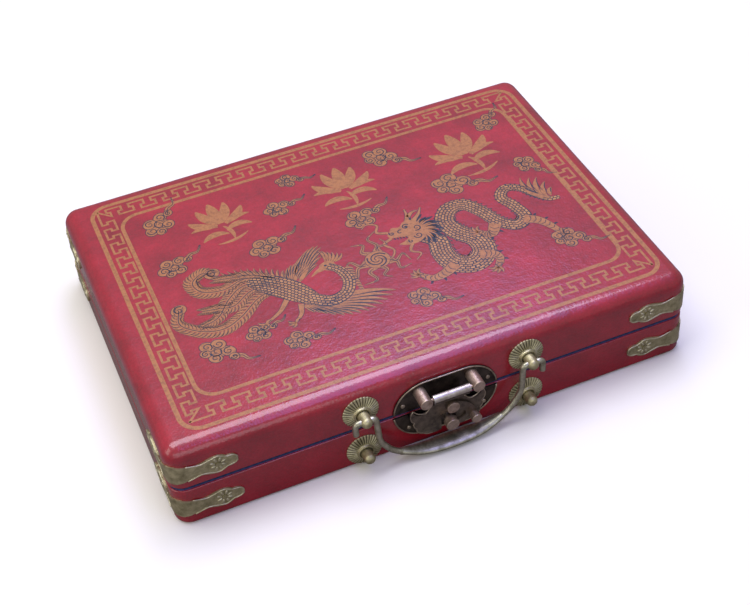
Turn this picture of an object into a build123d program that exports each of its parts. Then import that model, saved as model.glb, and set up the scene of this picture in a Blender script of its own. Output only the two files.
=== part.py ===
from build123d import *
from math import atan2, cos, degrees, pi, sin
import os

os.makedirs("parts", exist_ok=True)

# A flat mahjong case: a low tray, a deep lid hinged at the rear, and sliding drawers inside.
# Millimetres. +X is to the right, -Y is the front, +Z is up. The origin lies under the middle of the base.

# Case
case_width = 360.0
case_depth = 262.0
base_height = 31.2
seam_gap = 2.8
lid_height = 33.0
wall = 6.0
base_floor = 5.0
lid_top = 5.0
corner_radius = 10.5
top_edge_radius = 9.8
foot_edge_radius = 3.0
rim_edge_radius = 0.8
least_radius = 0.5

# Linings and the collar that stands up into the lid
collar_thickness = 2.5
collar_rise = 9.0
collar_clearance = 0.8
lining_thickness = 1.0
lining_gap = 0.3

# Lower compartments and the runners of the drawers
partition_thickness = 4.0
partition_rise = 4.0
cross_thickness = 3.0
runner_top = 33.0
runner_height = 3.0
runner_width = 5.0

# Drawers
drawer_length = 166.0
drawer_height = 25.0
drawer_wall = 3.0
drawer_bottom = 2.5
drawer_corner = 2.0
drawer_side_gap = 0.8
drawer_end_gap = 0.8
drawer_rest_gap = 0.2
drawer_knob_radius = 4.5
drawer_knob_reach = 9.0
drawer_knob_neck = 2.2
drawer_knob_shank = 1.5

# Corner brackets: a strap round each corner that ends in two flower lobes
bracket_thickness = 0.8
strap_height = 15.4
neck_height = 10.0
lobe_height = 14.8
shoulder_height = 9.6
neck_reach = 20.0
lobe_reach = 31.5
shoulder_reach = 37.4
tip_bulge_reach = 41.4
tip_bulge_height = 8.6
bracket_reach = 44.5
lid_bracket_rise = 12.4
pin_head_radius = 1.7
pin_head_height = 0.8
pin_shank_radius = 0.7
pin_depth = 4.0

# The lock and the handle stand a little to the right of the case's middle
hardware_offset = 2.6

# Fluted rosettes
post_spacing = 114.6
upper_post_z = 47.8
lower_post_z = 13.2
rosette_radius = 12.3
rosette_rim = 0.7
rosette_dome = 2.4
rosette_web = 1.2
ring_radius = 5.7
ring_bore = 4.4
ring_height = 4.2
flute_count = 32
flute_radius = 0.5
flute_depth = 0.4
rim_notch_radius = 0.5

# Posts, riveted over roves inside the wall
post_radius = 3.8
upper_post_reach = 14.0
lower_post_reach = 12.6
post_shank_radius = 1.8
rove_radius = 4.0
rove_thickness = 1.0
rove_inset = 0.2

# Bail handle
handle_standoff = 9.4
rod_radius = 2.1
curl_offset = 7.4
curl_drop = 9.0
rod_bend = 2.6
shoulder_offset = 6.4
leg_foot_x = 49.4
leg_foot_z = 25.0
haunch_x = 38.4
haunch_z = 8.8
grip_x = 13.0
grip_z = 3.7
leg_bend = 16.0
haunch_bend = 26.0
grip_bend = 60.0
grip_wide = 12.8
grip_thick = 5.4

# Lock plates and posts
plate_width = 73.0
plate_height = 46.0
plate_thickness = 1.0
plate_edge_gap = 0.2
lock_post_spacing = 36.1
lock_post_rise = 14.3
lock_post_radius = 4.15
lock_post_reach = 14.1
lock_shank_radius = 1.7
lock_shank_depth = 4.4
rivet_head_radius = 1.5
rivet_head_height = 1.0
rivet_shank_radius = 0.8
rivet_depth = 3.5
upper_rivet_x = 29.6
upper_rivet_rise = 6.6
lower_rivet_x = 26.4
lower_rivet_drop = 11.4

# Hasp flap
hasp_standoff = 11.2
barrel_radius = 2.6
barrel_end_gap = 1.2
hasp_pin_radius = 1.1
hasp_pin_cover = 1.5
flap_thickness = 1.6
flap_standoff = 4.0
flap_neck_drop = 4.7
flap_knee_drop = 11.3
flap_bend = 2.6
flap_reach = 37.6
wing_half = 26.6

# Places on the flap's outline, as shares of its half span and of its reach below the barrel
neck_foot = (0.44, 0.356)
crescent = (0.647, 0.473)
wing_tip = (0.925, 0.346)
wing_side = (1.0, 0.489)
cusp_one = (0.906, 0.622)
scallop_one = (0.921, 0.707)
cusp_two = (0.857, 0.782)
scallop_two = (0.82, 0.88)
cusp_three = (0.699, 0.934)
belly = (0.444, 1.0)
notch_foot_share = 0.976

# Stud and catch
stud_drop = 11.7
stud_neck_radius = 2.7
stud_head_radius = 4.5
stud_head_start = 7.0
stud_reach = 12.0
notch_side_gap = 0.7
notch_top_gap = 2.3
pivot_x = 2.5
pivot_rise = 10.7
pivot_shaft_radius = 1.6
pivot_head_radius = 4.4
pivot_head_height = 1.4
lever_thickness = 1.4
lever_gap = 0.2
lever_hub_radius = 4.2
throat_gap = 0.5
catch_swing = 45.0
jaw_width = 2.6
jaw_lap = 16.0
knob_reach_x = 14.6
knob_drop = 13.4
arm_shoulder_x = 11.7
arm_shoulder_drop = 1.8
knob_boss_radius = 3.6
arm_end_lap = 0.9
knob_shaft_radius = 2.7
knob_head_radius = 3.5
knob_head_start = 9.0
knob_reach = 11.6
knob_spigot_radius = 1.5

# Rear hinges
hinge_inset = 70.0
leaf_width = 38.0
leaf_height = 14.0
leaf_thickness = 1.2
knuckle_radius = 2.5
knuckle_offset = 2.6
knuckle_gap = 0.3
hinge_pin_radius = 0.95
hinge_pin_proud = 0.6
hinge_screw_spacing = 24.0
hinge_screw_rise = 9.4
screw_head_radius = 2.2
screw_head_height = 0.8
screw_shank_radius = 1.1
screw_depth = 4.0

# Fits
seat_fit = 0.1
tight_fit = 0.02
running_fit = 0.08
head_edge = 0.5

# Worked-out places
front_y = -case_depth / 2
rear_y = case_depth / 2
lid_bottom = base_height + seam_gap
seam_z = base_height + seam_gap / 2
inner_width = case_width - 2 * wall
inner_depth = case_depth - 2 * wall
inner_radius = max(corner_radius - wall, least_radius)
lid_wall = wall - collar_clearance
lid_inner_width = case_width - 2 * lid_wall
lid_inner_depth = case_depth - 2 * lid_wall
lid_inner_radius = max(corner_radius - lid_wall, least_radius)
collar_top = base_height + collar_rise
bay_width = inner_width - 2 * collar_thickness
bay_depth = inner_depth - 2 * collar_thickness
bay_radius = max(inner_radius - collar_thickness, least_radius)
floor_top = base_floor + lining_thickness
lid_ceiling = lid_bottom + lid_height - lid_top
base_bracket_z = base_height / 2
lid_bracket_z = lid_bottom + lid_bracket_rise
lock_post_x = lock_post_spacing / 2
barrel_z = lid_bottom + lock_post_rise
stud_z = base_height - stud_drop
pivot_z = stud_z + pivot_rise
flap_face = flap_standoff + flap_thickness / 2
lever_back = flap_face + lever_gap
lever_face = lever_back + lever_thickness
hinge_x = case_width / 2 - hinge_inset
hinge_y = rear_y + knuckle_offset


def front_plane(x, z, out=0.0):
    """A plane in front of the case, looking out, at a distance from the front face."""
    return Plane(origin=(x, front_y - out, z), x_dir=(1, 0, 0), z_dir=(0, -1, 0))


def lock_plane(x, z, out=0.0):
    """The same, with x counted from the middle line of the lock and the handle."""
    return front_plane(hardware_offset + x, z, out)


def rear_plane(x, z, out=0.0):
    """A plane behind the case, looking out."""
    return Plane(origin=(x, rear_y + out, z), x_dir=(-1, 0, 0), z_dir=(0, 1, 0))


def side_plane(side, y, z, out=0.0):
    """A plane at the left (side -1) or the right (side 1) of the case, looking out."""
    x = side * (case_width / 2 + out)
    return Plane(origin=(x, y, z), x_dir=(0, side, 0), z_dir=(side, 0, 0))


def cross_plane(x, y, z):
    """A plane square to X."""
    return Plane(origin=(x, y, z), x_dir=(0, -1, 0), z_dir=(-1, 0, 0))


def write(piece, name):
    piece.part.label = name
    export_step(piece.part, f"parts/{name}.step")


def rounded_block(width, depth, radius, low, high, mode=Mode.ADD):
    """An upright block with rounded corners, between two heights."""
    with BuildSketch(Plane.XY.offset(low)) as outline:
        RectangleRounded(width, depth, radius)
    extrude(outline.sketch, amount=high - low, mode=mode)


def discs(planes, radius, length, mode=Mode.ADD):
    """A round bar from each plane, outwards, or inwards where the length is negative."""
    with BuildSketch(*planes) as ends:
        Circle(radius)
    extrude(ends.sketch, amount=length, mode=mode)


# Places of the small fasteners


def bracket_pin_planes(z):
    """One plane for each of the eight pins of the four brackets at one height."""
    x = case_width / 2 - lobe_reach
    y = case_depth / 2 - lobe_reach
    planes = []
    for side in (-1, 1):
        planes += [front_plane(side * x, z), rear_plane(side * x, z)]
        planes += [side_plane(side, -y, z), side_plane(side, y, z)]
    return planes


def post_planes(z, out=0.0):
    return [lock_plane(side * post_spacing / 2, z, out) for side in (-1, 1)]


def hinge_screw_planes(turn, out=0.0):
    """Two screws for each leaf, below the hinge line (turn -1) or above it (turn 1)."""
    z = seam_z + turn * hinge_screw_rise
    half = hinge_screw_spacing / 2
    return [rear_plane(side * hinge_x + end * half, z, out) for side in (-1, 1) for end in (-1, 1)]


def rivet_planes(x, z, out=0.0):
    return [lock_plane(side * x, z, out) for side in (-1, 1)]


upper_rivets = (upper_rivet_x, lid_bottom + upper_rivet_rise)
lower_rivets = (lower_rivet_x, base_height - lower_rivet_drop)
lock_post_places = [(side * lock_post_x, barrel_z) for side in (-1, 1)]


def drill_common_holes(bracket_z, post_z, turn, wall_here):
    """Holes that both halves of the case have: bracket pins, posts with roves, hinge screws."""
    discs(bracket_pin_planes(bracket_z), pin_shank_radius + seat_fit, -(pin_depth + seat_fit), Mode.SUBTRACT)
    discs(post_planes(post_z), post_shank_radius + seat_fit, -wall_here, Mode.SUBTRACT)
    rove_floor = wall_here - rove_thickness - rove_inset
    discs(post_planes(post_z, -rove_floor), rove_radius + seat_fit, -(rove_thickness + rove_inset), Mode.SUBTRACT)
    discs(hinge_screw_planes(turn), screw_shank_radius + seat_fit, -(screw_depth + seat_fit), Mode.SUBTRACT)


# Base

with BuildPart() as base_shell:
    rounded_block(case_width, case_depth, corner_radius, 0, base_height)
    fillet(base_shell.faces().sort_by(Axis.Z)[0].edges(), foot_edge_radius)
    fillet(base_shell.faces().sort_by(Axis.Z)[-1].edges(), rim_edge_radius)
    rounded_block(inner_width, inner_depth, inner_radius, base_floor, base_height, Mode.SUBTRACT)
    drill_common_holes(base_bracket_z, lower_post_z, -1, wall)
    discs(rivet_planes(*lower_rivets), rivet_shank_radius + seat_fit, -(rivet_depth + seat_fit), Mode.SUBTRACT)
    discs([lock_plane(0, stud_z)], lock_shank_radius + seat_fit, -(lock_shank_depth + seat_fit), Mode.SUBTRACT)
write(base_shell, "base_shell")

with BuildPart() as base_collar:
    rounded_block(inner_width, inner_depth, inner_radius, base_floor, collar_top)
    rounded_block(bay_width, bay_depth, bay_radius, base_floor, collar_top, Mode.SUBTRACT)
write(base_collar, "base_collar")

with BuildPart() as base_floor_lining:
    rounded_block(bay_width, bay_depth, bay_radius, base_floor, floor_top)
write(base_floor_lining, "base_floor_lining")

with BuildPart() as centre_partition:
    with BuildSketch(Plane.XY.offset(floor_top)):
        Rectangle(bay_width, partition_thickness)
    extrude(amount=runner_top + partition_rise - floor_top)
write(centre_partition, "centre_partition")

for end, end_name in ((-1, "front"), (1, "rear")):
    cross_length = (bay_depth - partition_thickness) / 2
    with BuildPart() as cross_partition:
        with BuildSketch(Plane.XY.offset(floor_top)):
            with Locations((0, end * (partition_thickness + cross_length) / 2)):
                Rectangle(cross_thickness, cross_length)
        extrude(amount=runner_top - runner_height - floor_top)
    write(cross_partition, f"cross_partition_{end_name}")

    runner_places = (
        ("outer", bay_depth / 2 - runner_width / 2),
        ("centre", partition_thickness / 2 + runner_width / 2),
    )
    for place_name, runner_y in runner_places:
        with BuildPart() as runner:
            with BuildSketch(Plane.XY.offset(runner_top - runner_height)):
                with Locations((0, end * runner_y)):
                    Rectangle(bay_width, runner_width)
            extrude(amount=runner_height)
            rounded_block(bay_width, bay_depth, bay_radius, 0, case_width, Mode.INTERSECT)
        write(runner, f"{end_name}_runner_{place_name}")


# Lid

lid_round = min(top_edge_radius, corner_radius - least_radius, lid_height - least_radius)
with BuildPart() as lid_shell:
    rounded_block(case_width, case_depth, corner_radius, lid_bottom, lid_bottom + lid_height)
    fillet(lid_shell.faces().sort_by(Axis.Z)[-1].edges(), lid_round)
    fillet(lid_shell.faces().sort_by(Axis.Z)[0].edges(), rim_edge_radius)
    rounded_block(lid_inner_width, lid_inner_depth, lid_inner_radius, lid_bottom, lid_ceiling, Mode.SUBTRACT)
    drill_common_holes(lid_bracket_z, upper_post_z, 1, lid_wall)
    discs(rivet_planes(*upper_rivets), rivet_shank_radius + seat_fit, -(rivet_depth + seat_fit), Mode.SUBTRACT)
    lock_holes = [lock_plane(x, z) for x, z in lock_post_places]
    discs(lock_holes, lock_shank_radius + seat_fit, -(lock_shank_depth + seat_fit), Mode.SUBTRACT)
write(lid_shell, "lid_shell")

lining_low = collar_top + lining_gap
lining_inner_width = lid_inner_width - 2 * collar_thickness
lining_inner_depth = lid_inner_depth - 2 * collar_thickness
lining_inner_radius = max(lid_inner_radius - collar_thickness, least_radius)
with BuildPart() as lid_lining:
    rounded_block(lid_inner_width, lid_inner_depth, lid_inner_radius, lining_low, lid_ceiling)
    lining_top = lid_ceiling - lining_thickness
    rounded_block(
        lining_inner_width, lining_inner_depth, lining_inner_radius, lining_low, lining_top, Mode.SUBTRACT
    )
write(lid_lining, "lid_lining")


# Corner brackets


def leaf_outline():
    """One leaf of a bracket, seen square on: strap, neck, round lobe, shoulder and pointed tip."""
    start = -2 * bracket_thickness
    with BuildLine() as border:
        Line((start, 0), (start, strap_height / 2))
        Line((start, strap_height / 2), (0, strap_height / 2))
        edge = Spline(
            (0, strap_height / 2),
            (neck_reach, neck_height / 2),
            (lobe_reach, lobe_height / 2),
            (shoulder_reach, shoulder_height / 2),
            tangents=((1, 0), (1, -1)),
        )
        ThreePointArc(edge @ 1, (tip_bulge_reach, tip_bulge_height / 2), (bracket_reach, 0))
        mirror(about=Plane.XZ)
    make_face(border.edges())


def bracket_leaves(side, end, z):
    """The two leaves as prisms, one through the front or rear face and one through the side face."""
    corner = (side * case_width / 2, end * case_depth / 2, z)
    band = corner_radius / 2
    with BuildPart() as leaves:
        with BuildSketch(Plane(origin=corner, x_dir=(-side, 0, 0), z_dir=(0, side, 0))):
            leaf_outline()
        extrude(amount=band, both=True)
        with BuildSketch(Plane(origin=corner, x_dir=(0, -end, 0), z_dir=(-end, 0, 0))):
            leaf_outline()
        extrude(amount=band, both=True)
    return leaves.part


def make_bracket(side, end, z, name):
    leaves = bracket_leaves(side, end, z)
    half = max(strap_height, lobe_height) / 2 + bracket_thickness
    outer_width = case_width + 2 * bracket_thickness
    outer_depth = case_depth + 2 * bracket_thickness
    with BuildPart() as bracket:
        rounded_block(outer_width, outer_depth, corner_radius + bracket_thickness, z - half, z + half)
        rounded_block(case_width, case_depth, corner_radius, z - half, z + half, Mode.SUBTRACT)
        add(leaves, mode=Mode.INTERSECT)
        discs(bracket_pin_planes(z), pin_shank_radius + seat_fit, bracket_thickness, Mode.SUBTRACT)
    write(bracket, name)


def make_bracket_pins(z, name):
    planes = bracket_pin_planes(z)
    with BuildPart() as pins:
        discs([plane.offset(bracket_thickness) for plane in planes], pin_head_radius, pin_head_height)
        discs([plane.offset(bracket_thickness) for plane in planes], pin_shank_radius, -(bracket_thickness + pin_depth))
    write(pins, name)


for half_name, bracket_z in (("base", base_bracket_z), ("lid", lid_bracket_z)):
    for end, end_name in ((-1, "front"), (1, "rear")):
        for side, side_name in ((-1, "left"), (1, "right")):
            make_bracket(side, end, bracket_z, f"{half_name}_bracket_{end_name}_{side_name}")
    make_bracket_pins(bracket_z, f"{half_name}_bracket_pins")


# Rosettes and posts


def flute_planes(x, z):
    """Planes that look down the slope of the rosette, one for each flute."""
    lift = flute_radius - flute_depth
    run = rosette_radius - ring_radius
    fall = rosette_dome - rosette_rim
    planes = []
    for turn in range(flute_count):
        angle = 2 * pi * turn / flute_count
        start = Vector(
            x + ring_radius * cos(angle),
            front_y - rosette_dome - lift,
            z + ring_radius * sin(angle),
        )
        down_slope = Vector(run * cos(angle), fall, run * sin(angle))
        planes.append(Plane(origin=start, z_dir=down_slope))
    return planes


def rim_notch_planes(x, z):
    """One plane at the outer end of each flute."""
    planes = []
    for turn in range(flute_count):
        angle = 2 * pi * turn / flute_count
        planes.append(front_plane(x + rosette_radius * cos(angle), z + rosette_radius * sin(angle)))
    return planes


def make_rosette(x, z, name):
    """A fluted disc with a scalloped rim and a raised ring round the post."""
    middle = (x, front_y, z)
    bore = post_shank_radius + seat_fit
    with BuildPart() as rosette:
        with BuildSketch(Plane(origin=middle, x_dir=(1, 0, 0), z_dir=(0, 0, -1))):
            with BuildLine():
                Polyline(
                    (bore, 0),
                    (rosette_radius, 0),
                    (rosette_radius, rosette_rim),
                    (ring_radius, rosette_dome),
                    (ring_radius, ring_height),
                    (ring_bore, ring_height),
                    (ring_bore, rosette_web),
                    (bore, rosette_web),
                    close=True,
                )
            make_face()
        revolve(axis=Axis(middle, (0, -1, 0)))
        discs(flute_planes(x, z), flute_radius, 2 * (rosette_radius - ring_radius), Mode.SUBTRACT)
        discs(rim_notch_planes(x, z), rim_notch_radius, rosette_dome, Mode.SUBTRACT)
    write(rosette, name)


def make_post(x, z, reach, wall_here, name, has_eye):
    """A round-ended post on a shank through the wall; the upper ones have an eye for the handle."""
    with BuildPart() as post:
        discs([front_plane(x, z, rosette_web)], post_radius, reach - rosette_web)
        fillet(post.faces().sort_by(Axis.Y)[0].edges(), post_radius - head_edge)
        discs([front_plane(x, z, rosette_web)], post_shank_radius, -(rosette_web + wall_here - rove_inset))
        if has_eye:
            with BuildSketch(cross_plane(x, front_y - handle_standoff, z)):
                Circle(rod_radius + running_fit)
            extrude(amount=post_radius, both=True, mode=Mode.SUBTRACT)
    write(post, name)


def make_roves(z, wall_here, name):
    rove_floor = wall_here - rove_thickness - rove_inset
    with BuildPart() as roves:
        discs(post_planes(z, -rove_floor), rove_radius, -rove_thickness)
        discs(post_planes(z), post_shank_radius + seat_fit, -wall_here, Mode.SUBTRACT)
    write(roves, name)


for side, side_name in ((-1, "left"), (1, "right")):
    post_x = hardware_offset + side * post_spacing / 2
    make_rosette(post_x, upper_post_z, f"lid_rosette_{side_name}")
    make_rosette(post_x, lower_post_z, f"base_rosette_{side_name}")
    make_post(post_x, upper_post_z, upper_post_reach, lid_wall, f"handle_post_{side_name}", True)
    make_post(post_x, lower_post_z, lower_post_reach, wall, f"base_post_{side_name}", False)
make_roves(upper_post_z, lid_wall, "lid_post_roves")
make_roves(lower_post_z, wall, "base_post_roves")


# Bail handle

eye_x = post_spacing / 2
half_route = [
    (eye_x + curl_offset, upper_post_z - curl_drop),
    (eye_x + curl_offset, upper_post_z),
    (eye_x - shoulder_offset, upper_post_z),
    (leg_foot_x, leg_foot_z),
    (haunch_x, haunch_z),
    (grip_x, grip_z),
]
half_bends = [rod_bend, rod_bend, leg_bend, haunch_bend, grip_bend]
route = half_route + [(-x, z) for x, z in reversed(half_route)]
bends = half_bends + half_bends[::-1]

with BuildLine(lock_plane(0, 0, handle_standoff)) as handle_line:
    FilletPolyline(*route, radius=bends)
handle_path = handle_line.wire()


def grip_section(share):
    """The flattened grip: widest in the middle, a little over the rod at its ends."""
    swell = 1 - share**2
    wide = 2 * rod_radius + tight_fit + (grip_wide - 2 * rod_radius) * swell
    thick = 2 * rod_radius + tight_fit + (grip_thick - 2 * rod_radius) * swell
    return wide / 2, thick / 2


with BuildPart() as handle:
    with BuildSketch(Plane(origin=handle_path @ 0, z_dir=handle_path % 0)):
        Circle(rod_radius)
    sweep(path=handle_path)
    for share in (-0.96, -0.7, -0.35, 0, 0.35, 0.7, 0.96):
        place = handle_path.location_at(0.5 + share * haunch_x / handle_path.length)
        tangent = handle_path.tangent_at(0.5 + share * haunch_x / handle_path.length)
        wide, thick = grip_section(share)
        with BuildSketch(Plane(origin=place.position, x_dir=(0, -1, 0), z_dir=tangent)):
            Ellipse(wide, thick)
    loft()
write(handle, "handle")


# Lock plates


def plate_half(turn):
    """The upper (turn 1) or lower (turn -1) half of the oval plate, drawn about the seam."""
    SlotOverall(plate_width, plate_height)
    edge = seam_gap / 2 + plate_edge_gap
    with Locations((0, turn * (edge - plate_height / 2))):
        Rectangle(plate_width, plate_height, mode=Mode.SUBTRACT)


with BuildPart() as lock_plate_upper:
    with BuildSketch(lock_plane(0, seam_z)):
        plate_half(1)
    extrude(amount=plate_thickness)
    discs(rivet_planes(*upper_rivets), rivet_shank_radius + seat_fit, plate_thickness, Mode.SUBTRACT)
    discs(lock_holes, lock_shank_radius + seat_fit, plate_thickness, Mode.SUBTRACT)
write(lock_plate_upper, "lock_plate_upper")

with BuildPart() as lock_plate_lower:
    with BuildSketch(lock_plane(0, seam_z)):
        plate_half(-1)
    extrude(amount=plate_thickness)
    discs(rivet_planes(*lower_rivets), rivet_shank_radius + seat_fit, plate_thickness, Mode.SUBTRACT)
    discs([lock_plane(0, stud_z)], lock_shank_radius + seat_fit, plate_thickness, Mode.SUBTRACT)
write(lock_plate_lower, "lock_plate_lower")


def make_rivets(place, name):
    with BuildPart() as rivets:
        discs(rivet_planes(*place, plate_thickness), rivet_head_radius, rivet_head_height)
        fillet(rivets.faces().group_by(Axis.Y)[0].edges(), head_edge)
        discs(rivet_planes(*place, plate_thickness), rivet_shank_radius, -(plate_thickness + rivet_depth))
    write(rivets, name)


make_rivets(upper_rivets, "lock_rivets_upper")
make_rivets(lower_rivets, "lock_rivets_lower")

pin_half = lock_post_x + lock_post_radius - hasp_pin_cover
pin_plane = cross_plane(hardware_offset, front_y - hasp_standoff, barrel_z)
for side, side_name in ((-1, "left"), (1, "right")):
    post_place = lock_plane(side * lock_post_x, barrel_z, plate_thickness)
    with BuildPart() as lock_post:
        discs([post_place], lock_post_radius, lock_post_reach - plate_thickness)
        fillet(lock_post.faces().sort_by(Axis.Y)[0].edges(), head_edge)
        discs([post_place], lock_shank_radius, -(plate_thickness + lock_shank_depth))
        with BuildSketch(pin_plane):
            Circle(hasp_pin_radius + tight_fit)
        extrude(amount=pin_half + seat_fit, both=True, mode=Mode.SUBTRACT)
    write(lock_post, f"lock_post_{side_name}")

with BuildPart() as hasp_pin:
    with BuildSketch(pin_plane):
        Circle(hasp_pin_radius)
    extrude(amount=pin_half, both=True)
write(hasp_pin, "hasp_pin")

with BuildPart() as lock_stud:
    stud_foot = lock_plane(0, stud_z, plate_thickness)
    discs([lock_plane(0, stud_z, stud_head_start)], stud_head_radius, stud_reach - stud_head_start)
    fillet(lock_stud.faces().sort_by(Axis.Y)[0].edges(), head_edge)
    discs([stud_foot], stud_neck_radius, stud_head_start - plate_thickness)
    discs([stud_foot], lock_shank_radius, -(plate_thickness + lock_shank_depth))
write(lock_stud, "lock_stud")


# Hasp flap: a winged plate that hangs from the barrel, with a notch that clears the head of the stud

notch_half = stud_head_radius + notch_side_gap
notch_top = stud_z + stud_head_radius + notch_top_gap


def at_share(share):
    """A point of the flap's outline from its shares of the half span and of the reach."""
    return (wing_half * share[0], -flap_reach * share[1])


def wing_outline():
    """The flap's outline: neck, crescent below the post, scalloped wing and foot, then its mirror image."""
    foot = (notch_half, -flap_reach * notch_foot_share)
    arcs = (
        (at_share(neck_foot), at_share(crescent), at_share(wing_tip)),
        (at_share(wing_tip), at_share(wing_side), at_share(cusp_one)),
        (at_share(cusp_one), at_share(scallop_one), at_share(cusp_two)),
        (at_share(cusp_two), at_share(scallop_two), at_share(cusp_three)),
        (at_share(cusp_three), at_share(belly), foot),
    )
    with BuildLine() as border:
        Line((0, 0), (barrel_half, 0))
        Line((barrel_half, 0), at_share(neck_foot))
        for start, middle, finish in arcs:
            ThreePointArc(start, middle, finish)
        Line(foot, (0, foot[1]))
        mirror(about=Plane.YZ)
    make_face(border.edges())


barrel_half = lock_post_x - lock_post_radius - barrel_end_gap
with BuildPart() as hasp_flap:
    with BuildSketch(Plane(origin=(hardware_offset, front_y, barrel_z), x_dir=(0, -1, 0), z_dir=(-1, 0, 0))):
        with BuildLine() as fold:
            FilletPolyline(
                (hasp_standoff, 0),
                (hasp_standoff, -flap_neck_drop),
                (flap_standoff, -flap_knee_drop),
                (flap_standoff, -flap_reach),
                radius=flap_bend,
            )
        trace(line_width=flap_thickness)
    extrude(amount=plate_width, both=True)
    with BuildSketch(lock_plane(0, barrel_z)):
        wing_outline()
    extrude(amount=2 * hasp_standoff, mode=Mode.INTERSECT)
    with BuildSketch(pin_plane):
        Circle(barrel_radius)
    extrude(amount=barrel_half, both=True)
    with BuildSketch(pin_plane):
        Circle(hasp_pin_radius + running_fit)
    extrude(amount=barrel_half, both=True, mode=Mode.SUBTRACT)
    with BuildSketch(lock_plane(0, notch_top - notch_half)):
        Circle(notch_half)
        Rectangle(2 * notch_half, flap_reach, align=(Align.CENTER, Align.MAX))
    extrude(amount=flap_face + seat_fit, mode=Mode.SUBTRACT)
    discs([lock_plane(pivot_x, pivot_z)], pivot_shaft_radius + tight_fit, flap_face + seat_fit, Mode.SUBTRACT)
write(hasp_flap, "hasp_flap")

with BuildPart() as catch_pivot:
    discs([lock_plane(pivot_x, pivot_z, lever_face + lever_gap)], pivot_head_radius, pivot_head_height)
    fillet(catch_pivot.faces().sort_by(Axis.Y)[0].edges(), head_edge)
    shaft_length = lever_face + lever_gap - flap_face + flap_thickness
    discs([lock_plane(pivot_x, pivot_z, lever_face + lever_gap)], pivot_shaft_radius, -shaft_length)
write(catch_pivot, "catch_pivot")


# Swinging catch: hub, curved arm with a finger knob, and a hook whose throat slides round the stud's neck

throat_radius = (pivot_x**2 + pivot_rise**2) ** 0.5
throat_half = stud_neck_radius + throat_gap
stud_angle = degrees(atan2(-pivot_rise, -pivot_x))
throat_angle = stud_angle + catch_swing
knob_place = (knob_reach_x, -knob_drop)
knob_angle = degrees(atan2(-knob_drop, knob_reach_x))
jaw_outer = throat_radius + throat_half + jaw_width
jaw_angle = throat_angle - jaw_lap


def turned(radius, angle):
    """A point at a distance from the pivot and an angle from +X, in degrees."""
    return (radius * cos(angle * pi / 180), radius * sin(angle * pi / 180))


with BuildPart() as catch_lever:
    with BuildSketch(lock_plane(pivot_x, pivot_z, lever_back)) as lever_sketch:
        Circle(lever_hub_radius)
        with Locations(knob_place):
            Circle(knob_boss_radius)
        with Locations(turned(jaw_outer - jaw_width / 2, jaw_angle)):
            Circle(jaw_width / 2)
        with BuildLine():
            hub_top = (0, lever_hub_radius)
            arm_end = (knob_reach_x + arm_end_lap * knob_boss_radius, -knob_drop)
            jaw_foot = turned(jaw_outer, jaw_angle)
            ThreePointArc(hub_top, (arm_shoulder_x, -arm_shoulder_drop), arm_end)
            Line(arm_end, knob_place)
            Line(knob_place, turned(jaw_outer, knob_angle))
            CenterArc((0, 0), jaw_outer, knob_angle, jaw_angle - knob_angle)
            Line(jaw_foot, (0, 0))
            Line((0, 0), hub_top)
        make_face()
        with BuildLine():
            CenterArc((0, 0), throat_radius - throat_half, stud_angle, catch_swing)
            CenterArc((0, 0), throat_radius + throat_half, stud_angle, catch_swing)
            Line(turned(throat_radius - throat_half, stud_angle), turned(throat_radius + throat_half, stud_angle))
            Line(
                turned(throat_radius - throat_half, throat_angle),
                turned(throat_radius + throat_half, throat_angle),
            )
        make_face(mode=Mode.SUBTRACT)
        with Locations(turned(throat_radius, throat_angle)):
            Circle(throat_half, mode=Mode.SUBTRACT)
        with Locations((-pivot_x, notch_top - pivot_z)):
            Rectangle(2 * notch_half, flap_reach, align=(Align.CENTER, Align.MAX), mode=Mode.SUBTRACT)
        Circle(pivot_shaft_radius + running_fit, mode=Mode.SUBTRACT)
        with Locations(knob_place):
            Circle(knob_spigot_radius + tight_fit, mode=Mode.SUBTRACT)
    extrude(amount=lever_thickness)
write(catch_lever, "catch_lever")

with BuildPart() as catch_knob:
    knob_x = pivot_x + knob_reach_x
    knob_z = pivot_z - knob_drop
    discs([lock_plane(knob_x, knob_z, knob_head_start)], knob_head_radius, knob_reach - knob_head_start)
    fillet(catch_knob.faces().sort_by(Axis.Y)[0].edges(), head_edge)
    discs([lock_plane(knob_x, knob_z, lever_face)], knob_shaft_radius, knob_head_start - lever_face)
    discs([lock_plane(knob_x, knob_z, lever_face)], knob_spigot_radius, -lever_thickness)
write(catch_knob, "catch_knob")


# Rear hinges


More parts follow.
